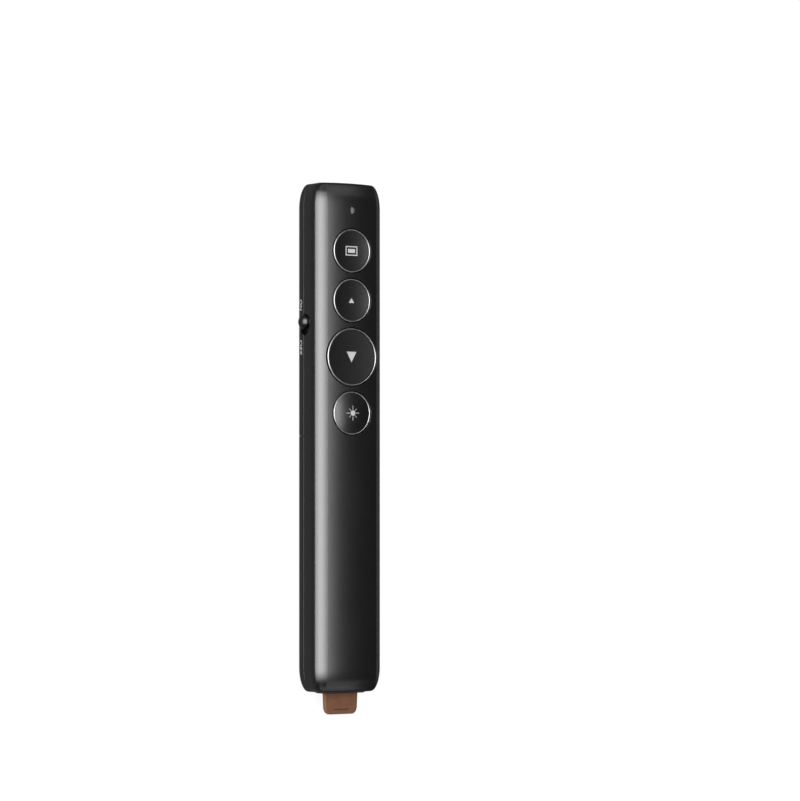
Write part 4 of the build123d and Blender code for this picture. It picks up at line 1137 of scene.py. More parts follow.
@dataclass
class Housing:
    """Front cover, rear cover and sliding battery cover, with soft rims round every opening.

    Attributes:
        form: the outer form.
        wall: wall thickness.
        inner_depth: how far the cavity's ends are drawn in.
        seam: heights of the two covers at the parting line.
        seam_depth: depth of the groove along the parting line.
        cross_seam: places along Y of the battery cover's and rear cover's edges.
        cross_depth: depth of the groove along the cross seam.
        groove_out: how far a groove's cutter stands out of the skin.
        softness: rounding of openings.
        collar: wall and lower end of the collars under the holes.
        notch: reach inside and outside the hole's wall, half width, and limits below and above the collar's end
            of the notch that a cap's rib runs in.
        boss_feet: lower end of the screw bosses over the board's and over the inner frame's screws.
        boss: radius, bore radius and bore depth of a screw boss.
        lip: inset of the lip, inset of its rebate, and height of its lower edge.
        lip_top: height at which the cutters of lip and rebate end.
        lamp: place along Y, width and length of the lamp slot, its lower end and its rounding.
        switch: place along Y and height of the slot's middle, its length and its width.
        receiver: height, width, height and corner of the opening in the tail.
        aperture: height and radius of the laser's opening, radius and depth of its seat, and rounding.
        barrel: radius of the room for the laser barrel in the front cover and its ends along Y.
        hooks: places along Y of the snap hooks, and half their length.
        hook_parts: name, limits across and limits in height of a hook's parts.
        saddles: places along Y of the saddles under the laser barrel.
        saddle: half width, half thickness, foot and bed radius of a saddle.
        pocket: half width, limits along Y and limits in height of the room for the battery cover's tongue.
        tongue: half width, reach behind and ahead of the edge, and limits in height of the tongue.
        rail: limits across and in height of the rails, their tail end, and how far they stop behind the edge.
        grip: place along Y of the first finger groove, length, width, pitch and number of the grooves.
        grip_form: depth and rounding of a finger groove.
    """

    form: HousingForm = field(default_factory=HousingForm)
    wall: float = 1.3
    inner_depth: float = 1.6
    seam: Flat = (5.4, 5.5)
    seam_depth: float = 0.07
    cross_seam: Flat = (0.55, 0.65)
    cross_depth: float = 0.12
    groove_out: float = 0.35
    softness: float = 0.1
    collar: Flat = (0.8, 10.9)
    notch: tuple[float, float, float, float, float] = (0.5, 0.37, 0.75, 0.15, 0.9)
    boss_feet: Flat = (7.6, 7.1)
    boss: Point = (1.2, 0.62, 3.6)
    lip: Point = (0.7, 0.58, 4.5)
    lip_top: float = 9.0
    lamp: tuple[float, float, float, float, float] = (66.95, 1.15, 2.0, 9.0, 0.08)
    switch: tuple[float, float, float, float] = (33.325, 5.9, 6.25, 4.7)
    receiver: tuple[float, float, float, float] = (6.8, 15.5, 6.1, 1.55)
    aperture: tuple[float, float, float, float, float] = (3.9, 1.0, 1.42, 74.55, 0.14)
    barrel: tuple[float, Flat] = (2.55, (69.5, 74.15))
    hooks: tuple[Flat, float] = ((60.15, 18.15), 2.0)
    hook_parts: Sequence[tuple[str, Flat, Flat]] = (
        ("hook", (9.65, 10.35), (2.8, 8.0)), ("hook_foot", (9.65, 10.7), (2.8, 4.35)),
        ("hook_barb", (10.25, 10.8), (7.2, 8.0)),
    )
    saddles: Flat = (64.35, 69.15)
    saddle: tuple[float, float, float, float] = (3.3, 0.6, 0.65, 2.42)
    pocket: tuple[float, Flat, Flat] = (7.15, (0.0, 3.3), (0.62, 2.0))
    tongue: tuple[float, Flat, Flat] = (7.0, (2.0, 2.5), (0.7, 1.3))
    rail: tuple[Flat, Flat, float, float] = ((9.35, 10.7), (3.55, 4.25), -67.85, 1.0)
    grip: tuple[float, float, float, float, int] = (-60.15, 9.0, 0.8, 1.8, 5)
    grip_form: Flat = (0.25, 0.12)

    def bosses(self) -> list[Point]:
        """Place across, place along Y and lower end of each screw boss."""
        sets = zip((BOARD_SCREWS, FRAME_SCREWS), self.boss_feet)
        return [(side * x, y, foot) for spots, foot in sets for x, y in spots for side in (-1, 1)]

    def cavity(self, name: str, keep: Sequence[Piece] = ()) -> Piece:
        """Closed cutter of the housing's hollow, less the closed meshes that stay solid in it."""
        inner = replace(self.form, inset=self.wall, end_depth=self.inner_depth, end_bow=0.0)
        hollow = inner.solid(name)
        return carve(hollow, keep) if keep else hollow

    def prism(self, name: str, inset: float, low: float) -> Piece:
        """Upright slab with the plan outline of the housing.

        Args:
            name: the object's name.
            inset: distance of its sides inside the housing's.
            low: height of its lower face.

        Returns:
            A closed cutter that ends at the lip's top.
        """
        inner = replace(self.form, end_depth=self.inner_depth + self.wall - inset, end_bow=0.0)
        loop = inner.outline(inset)
        return rings_to_piece(name, [[(x, y, z) for x, y, _, _ in loop] for z in (low, self.lip_top)])

    def rhombus(self, depth: float) -> tuple[Flat, ...]:
        """Section of a groove's cutter, as distances out of the skin and across the groove."""
        return ((self.groove_out, 0.0), (0.0, depth), (-depth, 0.0), (0.0, -depth))

    def seam_groove(self) -> Piece:
        """Cutter that softens both edges of the parting line."""
        middle = sum(self.seam) / 2
        rings = []
        section = self.rhombus(self.seam_depth)
        for x, y, nx, ny in self.form.outline():
            rings.append([(x + nx * out, y + ny * out, middle + up) for out, up in section])
        return rings_to_piece("seam_groove", rings, closed=True)

    def cross_groove(self) -> Piece:
        """Cutter that softens the joint between rear cover and battery cover."""
        middle = sum(self.cross_seam) / 2
        rings = []
        section = self.rhombus(self.cross_depth)
        for x, z, nx, nz in self.form.section():
            rings.append([(x + nx * out, middle + up, z + nz * out) for out, up in section])
        return rings_to_piece("cross_groove", rings, closed=True)

    def switch_well(self) -> Piece:
        """Cutter of the power switch's slot through the left wall."""
        y, z, length, width = self.switch
        loop = crosswise(oblong(length, width))
        side = self.form.half_width
        floor = side - self.wall - 0.5
        return soft_well("switch_well", loop, floor, lambda u, v: side, to_left(y, z), self.softness)

    def receiver_well(self) -> Piece:
        """Cutter of the opening in the tail, through the wall and a little further."""
        z, width, height, corner = self.receiver
        loop = rounded_box(width, height, corner)
        floor = self.form.half_length - 2.5
        return soft_well("receiver_well", loop, floor, self.form.end_y, to_tail(z), self.softness)

    def skin(self, piece: Piece) -> Piece:
        """Gives the outer skin its exact normals, so that the crown and corners shade without a facet.

        Args:
            piece: a cover.

        Returns:
            The piece, in triangles.
        """
        work = bmesh.new()
        work.from_mesh(piece.data)
        bmesh.ops.triangulate(work, faces=work.faces)
        work.to_mesh(piece.data)
        work.free()
        shade(piece)
        mesh = piece.data
        normals = [Vector(corner.vector) for corner in mesh.corner_normals]
        for face in mesh.polygons:
            middle = self.form.skin_normal(face.center / MM)
            if middle is None or middle.dot(face.normal) < 0.93:
                continue
            for corner in face.loop_indices:
                exact = self.form.skin_normal(mesh.vertices[mesh.loops[corner].vertex_index].co / MM, 0.2)
                if exact is not None:
                    normals[corner] = exact
        mesh.normals_split_custom_set(normals)
        return piece

    def front_cover(self) -> Piece:
        """Front cover with its button collars, screw bosses, lip and openings."""
        wall, low = self.collar
        radius, bore, bore_depth = self.boss
        holes, bosses = list(enumerate(HOLES.values())), list(enumerate(self.bosses()))
        keep = [rod(f"collar_{at}", hole + wall, (low, TALL[1]), upright(0.0, y)) for at, (y, hole) in holes]
        keep += [rod(f"boss_{at}", radius, (foot, TALL[1]), upright(x, y), 32) for at, (x, y, foot) in bosses]
        cover = carve(self.form.solid("front_cover_shell"), [self.cavity("hollow", keep)])
        below = block("below", WIDE, LONG, (TALL[0], self.seam[1]))
        carve(below, [self.prism("lip", self.lip[0], self.lip[2])])
        tools = [below, self.seam_groove()]
        inside, outside, half, under, over = self.notch
        for at, (y, hole) in holes:
            loop = circle(hole, 0.0, y, 128)
            tools.append(soft_well(f"hole_{at}", loop, low - 1, self.form.face_z, upright(), self.softness))
            x = (hole - inside, hole + outside)
            tools.append(block(f"notch_{at}", x, (y - half, y + half), (low - under, low + over)))
        for at, (x, y, foot) in bosses:
            tools.append(rod(f"bore_{at}", bore, (foot - 1, foot + bore_depth), upright(x, y), 24))
        y, width, length, floor, rounding = self.lamp
        slot = oblong(length, width, 0.0, y)
        tools.append(soft_well("lamp_well", slot, floor, self.form.face_z, upright(), rounding))
        tools += [self.switch_well(), self.receiver_well()]
        tools.append(rod("barrel_room", *self.barrel, to_nose(0, self.aperture[0]), 48))
        return self.skin(carve(cover, tools))

    def rear_part(self, name: str, low: float | None = None, high: float | None = None) -> Piece:
        """Stretch of the rear covers, rebated for the lip.

        Args:
            name: the object's name.
            low: its edge towards the tail, if it doesn't reach the tail.
            high: its edge towards the nose, if it doesn't reach the nose.

        Returns:
            The cover's shell.
        """
        cover = carve(self.form.solid(name), [self.cavity("hollow")])
        tools = [
            block("above", WIDE, LONG, (self.seam[0], TALL[1])),
            self.prism("rebate", self.lip[1], self.lip[2] - 0.1),
            self.seam_groove(),
            self.cross_groove(),
        ]
        if low is not None:
            tools.append(block("behind", WIDE, (LONG[0], low), TALL))
        if high is not None:
            tools.append(block("ahead", WIDE, (high, LONG[1]), TALL))
        return carve(cover, tools)

    def rear_cover(self) -> Piece:
        """Rear cover with the laser's opening, snap hooks and barrel saddles."""
        cover = self.rear_part("rear_cover_shell", low=self.cross_seam[1])
        z, radius, seat, seat_y, rounding = self.aperture
        mouth = soft_well("aperture", circle(radius, 0, 0, 48), 70.0, self.form.end_y, to_nose(0, z), rounding)
        seat_cut = rod("window_seat", seat, (70.0, seat_y), to_nose(0, z), 48)
        half, along, height = self.pocket
        room = block("tongue_pocket", (-half, half), along, height)
        carve(cover, [mouth, seat_cut, room, self.switch_well()])
        parts = []
        stations, half = self.hooks
        for side in (0, 1):
            for y in stations:
                for name, across, height in self.hook_parts:
                    parts.append(block(name, sides(*across)[side], (y - half, y + half), height))
        half, thick, foot, bed_radius = self.saddle
        for y in self.saddles:
            saddle = block("saddle", (-half, half), (y - thick, y + thick), (foot, z))
            parts.append(carve(saddle, [rod("bed", bed_radius, (y - 1, y + 1), to_nose(0, z), 40)]))
        return self.skin(absorb(cover, parts))

    def battery_cover(self) -> Piece:
        """Sliding battery cover with its tongue, rails and finger grooves."""
        edge = self.cross_seam[0]
        cover = self.rear_part("battery_cover_shell", high=edge)
        carve(cover, [self.receiver_well(), *self.grip_grooves()])
        half, (behind, ahead), height = self.tongue
        parts = [block("tongue", (-half, half), (edge - behind, edge + ahead), height)]
        across, height, tail, short = self.rail
        parts += [block("rail", x, (tail, edge - short), height) for x in sides(*across)]
        return self.skin(absorb(cover, parts))

    def grip_grooves(self) -> list[Piece]:
        """Cutters of the finger grooves in the back."""
        start, length, width, pitch, count = self.grip
        depth, rounding = self.grip_form
        loop = crosswise(oblong(length, width, steps=12))
        places = enumerate(downward(start + step * pitch) for step in range(count))
        return [soft_well(f"groove_{at}", loop, -depth, lambda u, v: 0.0, place, rounding) for at, place in places]

    def build(self) -> None:
        """Makes the three covers."""
        finish_piece(self.front_cover(), "satin_black_shell", "handset", ["front_cover"])
        finish_piece(self.rear_cover(), "satin_black_shell", "handset", ["rear_cover"])
        finish_piece(self.battery_cover(), "satin_black_shell", "battery_door", ["battery_cover"])


# ---- Geometry trees ----
def open_tree(name: str, sizes: Sequence[str], finish: str, on_mesh: bool = False) -> Tree:
    """Makes a geometry tree with its inputs and its output.

    Args:
        name: the tree's name.
        sizes: labels of its number inputs.
        finish: label of its material input.
        on_mesh: True if it works on the mesh that it is put on.

    Returns:
        The tree, with no node yet.
    """
    tree = bpy.data.node_groups.new(name, "GeometryNodeTree")
    tree.is_modifier = True
    inputs = [("Geometry", "NodeSocketGeometry")] if on_mesh else []
    inputs += [(label, "NodeSocketFloat") for label in sizes] + [(finish, "NodeSocketMaterial")]
    for label, kind in inputs:
        tree.interface.new_socket(label, in_out="INPUT", socket_type=kind)
    tree.interface.new_socket("Geometry", in_out="OUTPUT", socket_type="NodeSocketGeometry")
    return tree


def close_tree(tree: Tree, geometry: Socket, finish: Socket) -> None:
    """Ends a geometry tree with plain mesh in one finish.

    Args:
        tree: the tree.
        geometry: what it has made.
        finish: its material.
    """
    plain = add(tree, "GeometryNodeRealizeInstances", {"Geometry": geometry}).outputs[0]
    dressed = add(tree, "GeometryNodeSetMaterial", {"Geometry": plain, "Material": finish}).outputs[0]
    add(tree, "NodeGroupOutput", {"Geometry": dressed})


def grown(piece: Piece, tree: Tree, sizes: dict[str, float], finish: Finish) -> Piece:
    """Runs a geometry tree on a piece and keeps its result as plain mesh.

    Args:
        piece: the object, whose mesh may be empty.
        tree: the geometry tree, whose last input is its material.
        sizes: value of each number input in millimetres, or without a unit for one named Turns.
        finish: what the result is made of.

    Returns:
        The piece with no modifier left.
    """
    modifier = piece.modifiers.new(tree.name, "NODES")
    modifier.node_group = tree
    sockets = {item.name: item.identifier for item in tree.interface.items_tree if item.in_out == "INPUT"}
    for label, value in sizes.items():
        modifier[sockets[label]] = value if label == "Turns" else value * MM
    modifier[list(sockets.values())[-1]] = finish.material()
    return settle(piece)


# ---- Buttons ----
class Top(Enum):
    """How the top of a button is formed: height of its middle above its rim."""

    DISHED = -0.3
    SHALLOW = -0.25
    DOMED = 0.55


class Sign(Enum):
    """What is printed on a button."""

    SCREEN = "screen"
    UP = "up"
    DOWN = "down"
    BEAM = "beam"


@dataclass
class ButtonKey:
    """One round key: cap, bright ring and printed sign.

    Attributes:
        name: name of the key in the record and of its hole.
        top: form of its top.
        sign: what is printed on it.
        gap: distance of its ring from the hole's wall.
        ring_width: width of the ring.
        rim_z: height of the ring's crest.
        ring_height: height of the ring.
        sunk: how far the rim of the top lies under the ring's crest.
        edge: rounding of the top's rim.
        thickness: distance of the cap's inner face under the crest.
        flange_z: height of the flange's upper face.
        flange: reach of the flange past the hole's wall, and its thickness.
        skirt: thickness of the skirt.
        stem: radius and lower end of the stem.
        rib: reach inside and outside the cap's wall, half width, and limits below and above the flange's face
            of the rib that keeps the cap from turning.
    """

    name: str
    top: Top
    sign: Sign
    gap: float = 0.4
    ring_width: float = 0.25
    rim_z: float = 13.42
    ring_height: float = 0.22
    sunk: float = 0.04
    edge: float = 0.1
    thickness: float = 1.9
    flange_z: float = 10.85
    flange: Flat = (0.4, 0.6)
    skirt: float = 0.9
    stem: Flat = (1.6, 10.0)
    rib: tuple[float, float, float, float, float] = (0.2, 0.55, 0.6, 0.1, 0.8)

    @property
    def y(self) -> float:
        """Place along the housing."""
        return HOLES[self.name][0]

    @property
    def hole(self) -> float:
        """Radius of its hole."""
        return HOLES[self.name][1]

    @property
    def outer(self) -> float:
        """Radius of the ring's outside."""
        return self.hole - self.gap

    @property
    def seat(self) -> float:
        """Radius of the cap's top inside the ring."""
        return self.outer - self.ring_width

    @property
    def body(self) -> str:
        """Body that carries the key."""
        return f"{self.name}_key"

    def height(self, x: float, y: float) -> float:
        """Height of the cap's top.

        Args:
            x: distance across from its middle.
            y: distance along from its middle.

        Returns:
            The height.
        """
        bulge = self.top.value
        ball = (self.seat**2 + bulge**2) / (2 * abs(bulge))
        drop = ball - math.sqrt(max(ball**2 - x**2 - y**2, 0.0))
        return self.rim_z - self.sunk + bulge - math.copysign(drop, bulge)

    def cap(self) -> Piece:
        """Cap with its skirt, flange, stem and key rib."""
        edge, steps, turns = self.edge, 20, 5
        outline = [(0.0, self.height(0, 0))]
        radii = [(self.seat - edge) * step / steps for step in range(1, steps + 1)]
        outline += [(radius, self.height(radius, 0)) for radius in radii]
        rim = self.height(self.seat - edge, 0)
        for step in range(1, turns + 1):
            a = math.radians(90 / turns * step)
            outline.append((self.seat - edge + edge * math.sin(a), rim - edge + edge * math.cos(a)))
        step_z, under = self.rim_z - self.ring_height, self.rim_z - self.thickness
        flange, inner, high = self.hole + self.flange[0], self.outer - self.skirt, self.flange_z
        low = high - self.flange[1]
        outline += [(self.seat, step_z), (self.outer, step_z), (self.outer, high), (flange, high)]
        outline += [(flange, low), (inner, low), (inner, under), (self.stem[0], under), self.stem]
        outline.append((0.0, self.stem[1]))
        cap = turned(f"{self.name}_button_cap", outline, upright(0, self.y), 128)
        inside, outside, half, below, above = self.rib
        x = (self.outer - inside, self.outer + outside)
        rib = block("rib", x, (self.y - half, self.y + half), (high - below, high + above))
        return shade(absorb(cap, [rib]), 28)

    def ring(self) -> Piece:
        """Bright ring with a rounded crest that catches light all the way round."""
        middle, half = (self.outer + self.seat) / 2, self.ring_width / 2
        low, steps = self.rim_z - self.ring_height, 8
        section = [(self.seat, low), (self.outer, low)]
        for step in range(steps + 1):
            a = math.pi * step / steps
            section.append((middle + half * math.cos(a), self.rim_z - half + half * math.sin(a)))
        return shade(hoop(f"{self.name}_bright_ring", section, upright(0, self.y), 160), 50)

    def printed(self) -> Piece:
        """The printed sign, laid on the top's curve."""
        shapes = {Sign.SCREEN: screen_sign, Sign.UP: up_sign, Sign.DOWN: down_sign, Sign.BEAM: beam_sign}
        sign = shapes[self.sign](f"{self.name}_sign")
        return lay_print(sign, lambda u, v: (u, self.y + v, self.height(u, v)), Vector((0, 0, 1)))

    def build(self) -> None:
        """Makes the key."""
        finish_piece(self.cap(), "button_black", self.body, [f"{self.name}_button"])
        finish_piece(self.ring(), "bright_trim", self.body, [f"{self.name}_trim_ring"])
        finish_piece(self.printed(), None, self.body, finish=PRINT)


def flat_shape(name: str, outlines: Sequence[Sequence[Flat]]) -> Piece:
    """Flat mesh in the XY plane.

    Args:
        name: the object's name.
        outlines: convex outlines in millimetres.

    Returns:
        The object.
    """
    points, faces = [], []
    for outline in outlines:
        faces.append(range(len(points), len(points) + len(outline)))
        points += [(x, y, 0.0) for x, y in outline]
    return raw_piece(name, points, faces)


def box_outline(width: float, height: float) -> list[Flat]:
    """Corners of a rectangle round the middle."""
    return [(x * width / 2, y * height / 2) for x, y in ((-1, -1), (1, -1), (1, 1), (-1, 1))]


def screen_sign(name: str) -> Piece:
    """Rectangle in a frame."""
    outer, inner = box_outline(4.1, 2.8), box_outline(3.48, 2.18)
    strips = [[outer[at], outer[(at + 1) % 4], inner[(at + 1) % 4], inner[at]] for at in range(4)]
    return flat_shape(name, [*strips, box_outline(2.5, 1.15)])


def up_sign(name: str) -> Piece:
    """Small triangle towards the nose."""
    return flat_shape(name, [[(-0.94, -0.73), (0.94, -0.73), (0.0, 0.73)]])


def down_sign(name: str) -> Piece:
    """Triangle towards the tail."""
    return flat_shape(name, [[(-1.7, 1.54), (0.0, -1.54), (1.7, 1.54)]])


def beam_sign(name: str) -> Piece:
    """Disc with eight rays, long and short in turn, set round it by a geometry tree."""
    sizes = {"Disc Radius": 0.8, "Ray Start": 1.0, "Long Ray": 1.18, "Short Ray": 0.8, "Ray Width": 0.16}
    tree = open_tree("ray_wheel", list(sizes), "Ink")
    given = add(tree, "NodeGroupInput").outputs
    inputs = {"Vertices": 40, "Radius": given["Disc Radius"]}
    disc = add(tree, "GeometryNodeMeshCircle", inputs, fill_type="NGON")
    wheel = add(tree, "GeometryNodeMeshCircle", {"Vertices": 8, "Radius": given["Ray Start"]})
    spot = add(tree, "GeometryNodeInputPosition").outputs[0]
    angle = add(tree, "FunctionNodeAlignRotationToVector", {"Vector": spot}, axis="X").outputs[0]
    number = add(tree, "GeometryNodeInputIndex").outputs[0]
    odd = add(tree, "ShaderNodeMath", {0: number, 1: 2.0}, operation="MODULO").outputs[0]
    inputs = {0: odd, 2: given["Long Ray"], 3: given["Short Ray"]}
    length = add(tree, "ShaderNodeMix", inputs, data_type="FLOAT").outputs[0]
    size = add(tree, "ShaderNodeCombineXYZ", {"X": length, "Y": given["Ray Width"], "Z": 1.0}).outputs[0]
    grid = {"Size X": 1.0, "Size Y": 1.0, "Vertices X": 4, "Vertices Y": 2}
    ray = add(tree, "GeometryNodeMeshGrid", grid).outputs["Mesh"]
    ray = add(tree, "GeometryNodeTransform", {"Geometry": ray, "Translation": (0.5, 0.0, 0.0)}).outputs[0]
    inputs = {"Points": wheel.outputs["Mesh"], "Instance": ray, "Rotation": angle, "Scale": size}
    rays = add(tree, "GeometryNodeInstanceOnPoints", inputs).outputs[0]
    both = add(tree, "GeometryNodeJoinGeometry", {0: [disc.outputs["Mesh"], rays]}).outputs[0]
    close_tree(tree, both, given["Ink"])
    return grown(raw_piece(name, ()), tree, sizes, PRINT)


INK_FILM = 0.012  # thickness of the ink
INK_STEP = 0.45  # longest edge of a print's mesh, so that it follows the curve under it


def lay_print(sign: Piece, place: Callable[[float, float], Point], out: Vector) -> Piece:
    """Lays flat artwork on a curved surface and gives it the thickness of an ink film.

    Args:
        sign: flat mesh in the XY plane.
        place: maps a flat point in millimetres to the surface.
        out: direction away from the surface.

    Returns:
        The closed print, half a film deep in the surface and one film above it.
    """
    work = bmesh.new()
    work.from_mesh(sign.data)
    bmesh.ops.remove_doubles(work, verts=work.verts, dist=0.001 * MM)
    bmesh.ops.triangulate(work, faces=work.faces)
    for _ in range(4):
        long_edges = [edge for edge in work.edges if edge.calc_length() > INK_STEP * MM]
        if not long_edges:
            break
        bmesh.ops.subdivide_edges(work, edges=long_edges, cuts=1, use_grid_fill=True)
        bmesh.ops.triangulate(work, faces=work.faces)
    lift = out * INK_FILM * MM
    for vertex in work.verts:
        vertex.co = Vector(place(vertex.co.x / MM, vertex.co.y / MM)) * MM - lift * 0.5
    lower = list(work.faces)
    made = bmesh.ops.extrude_face_region(work, geom=lower)
    raised = [item for item in made["geom"] if isinstance(item, bmesh.types.BMVert)]
    bmesh.ops.translate(work, verts=raised, vec=lift * 1.5)
    bmesh.ops.recalc_face_normals(work, faces=work.faces)
    work.to_mesh(sign.data)
    work.free()
    return shade(sign, 40)


# ---- Power switch ----
@dataclass
class PowerSwitch:
    """Printed words beside the sliding knob.

    Attributes:
        form: the housing that they are printed on.
        words: text, its middle along Y, and its length.
        middle_z: height of the words' middle.
        cap_height: height of a letter.
    """

    form: HousingForm = field(default_factory=HousingForm)
    words: Sequence[tuple[str, float, float]] = (("ON", 39.2, 3.1), ("OFF", 26.7, 4.3))
    middle_z: float = 3.75
    cap_height: float = 1.4

    def word(self, text: str, y: float, length: float) -> Piece:
        """One printed word that reads towards the tail on the left side.

        Args:
            text: the word.
            y: place of its middle along the housing.
            length: its length.

        Returns:
            The print.
        """
        curve = bpy.data.curves.new(f"word_{text.lower()}", "FONT")
        curve.body = text
        curve.align_x, curve.align_y = "CENTER", "CENTER"
        curve.resolution_u = 6
        label = put("label", curve)
        mesh = bpy.data.meshes.new_from_object(label.evaluated_get(bpy.context.evaluated_depsgraph_get()))
        discard([label])
        low = [min(v.co[axis] for v in mesh.vertices) for axis in (0, 1)]
        high = [max(v.co[axis] for v in mesh.vertices) for axis in (0, 1)]
        for vertex in mesh.vertices:
            vertex.co.x = ((vertex.co.x - low[0]) / (high[0] - low[0]) - 0.5) * length * MM
            vertex.co.y = ((vertex.co.y - low[1]) / (high[1] - low[1]) - 0.5) * self.cap_height * MM

        def place(u: float, v: float) -> Point:
            """Point of the left side for a point of the flat word."""
            z = self.middle_z + v
            return (-self.form.side_x(z), y - u, z)

        return lay_print(put(f"switch_word_{text.lower()}", mesh), place, Vector((-1, 0, 0)))

    def build(self) -> None:
        """Makes the words."""
        for text, y, length in self.words:
            finish_piece(self.word(text, y, length), None, "handset", finish=PRINT)


# ---- Receiver ----
@dataclass
class PullTab:
    """Short leather strap on the receiver's cap, with a pressed line near its end.

    Attributes:
        root_y: inner end, in the cap.
        neck_y: where it leaves the cap.
        end_y: outer end.
        half_widths: half the width at the neck and at the end.
        middle_z: height of its middle.
        thickness: thickness of the strap.
        corner: radius of the outer corners.
        edge: rounding of the cut edge.
        line: distance of the pressed line from the end, half its length, its half width and its depth.
    """

    root_y: float = -72.47
    neck_y: float = -75.45
    end_y: float = -81.75
    half_widths: Flat = (5.8, 5.5)
    middle_z: float = 6.8
    thickness: float = 1.6
    corner: float = 1.8
    edge: float = 0.38
    line: tuple[float, float, float, float] = (1.45, 2.5, 0.16, 0.13)

    def half_width(self, y: float) -> float:
        """Half the width at y, with the corners rounded."""
        share = min(max((self.neck_y - y) / (self.neck_y - self.end_y), 0.0), 1.0)
        width = self.half_widths[0] + (self.half_widths[1] - self.half_widths[0]) * share
        into = y - self.end_y
        if into < self.corner:
            width -= self.corner - math.sqrt(max(self.corner**2 - (self.corner - into) ** 2, 0.0))
        return width

    def sink(self, x: float, y: float) -> float:
        """Depth of the pressed line at a point."""
        ahead, half, width, depth = self.line
        across = abs(y - self.end_y - ahead) / width
        along = max(abs(x) - half, 0.0) / width
        return depth * max(0.0, 1 - (across**2 + along**2)) ** 2

    def edge_drop(self, x: float, y: float, width: float) -> float:
        """How far the rounded cut edge lies under the strap's flat face.

        Args:
            x: distance across from its middle.
            y: place along the housing.
            width: half the strap's width at y.

        Returns:
            The distance.
        """
        near = min(width - abs(x), y - self.end_y)
        centre_x = self.half_widths[1] - self.corner
        if y < self.end_y + self.corner and abs(x) > centre_x:
            off = math.hypot(abs(x) - centre_x, self.end_y + self.corner - y)
            near = max(self.corner - off, 0.0)
        return self.edge - math.sqrt(max(self.edge**2 - max(self.edge - near, 0.0) ** 2, 0.0))

    def rows(self) -> list[float]:
        """Places along Y of the mesh's rows, close together at the end and at the pressed line."""
        turns = [math.pi / 2 * step / 14 for step in range(15)]
        rows = [self.end_y + self.corner * (1 - math.cos(turn)) for turn in turns]
        line_y = self.end_y + self.line[0]
        rows += [line_y + self.line[2] * step / 3 for step in range(-4, 5)]
        rows += [self.end_y + self.corner + 0.25 * step for step in range(1, 18)]
        rows += [self.neck_y + 0.3, self.neck_y + 1.2, self.root_y]
        return sorted({round(row, 4) for row in rows})

    def shares(self) -> list[float]:
        """Places across of the mesh's columns as shares of the half width, close together at the edges."""
        near, steps, columns = 0.075, 5, 40
        edge = [-1.0] + [-1 + near * (1 - math.cos(math.pi / 2 * step / steps)) for step in range(1, steps + 1)]
        middle = [-0.925 + 1.85 * step / columns for step in range(1, columns)]
        return edge + middle + [-share for share in reversed(edge)]

    def tab(self) -> Piece:
        """The strap."""
        rows, shares, half = self.rows(), self.shares(), self.thickness / 2
        points: list[Point] = []
        for side in (1, -1):
            for y in rows:
                width = self.half_width(y)
                for share in shares:
                    x = width * share
                    drop = half - self.edge_drop(x, y, width) - self.sink(x, y) * (side > 0)
                    points.append((x, y, self.middle_z + side * drop))
        wide, tall = len(shares), len(rows)
        lower = wide * tall
        faces: list[Sequence[int]] = []
        for start in (0, lower):
            for row in range(tall - 1):
                for column in range(wide - 1):
                    at = start + row * wide + column
                    faces.append((at, at + 1, at + wide + 1, at + wide))
        rim = [row * wide for row in range(tall)] + [(tall - 1) * wide + column for column in range(1, wide)]
        rim += [row * wide + wide - 1 for row in range(tall - 2, -1, -1)] + list(range(wide - 2, 0, -1))
        for at, here in enumerate(rim):
            there = rim[(at + 1) % len(rim)]
            faces.append((here, there, there + lower, here + lower))
        return shade(new_piece("leather_pull_tab", points, faces), 60)

    def build(self) -> None:
        """Makes the strap."""
        finish_piece(self.tab(), "brown_leather", "usb_receiver", ["leather_tab"])


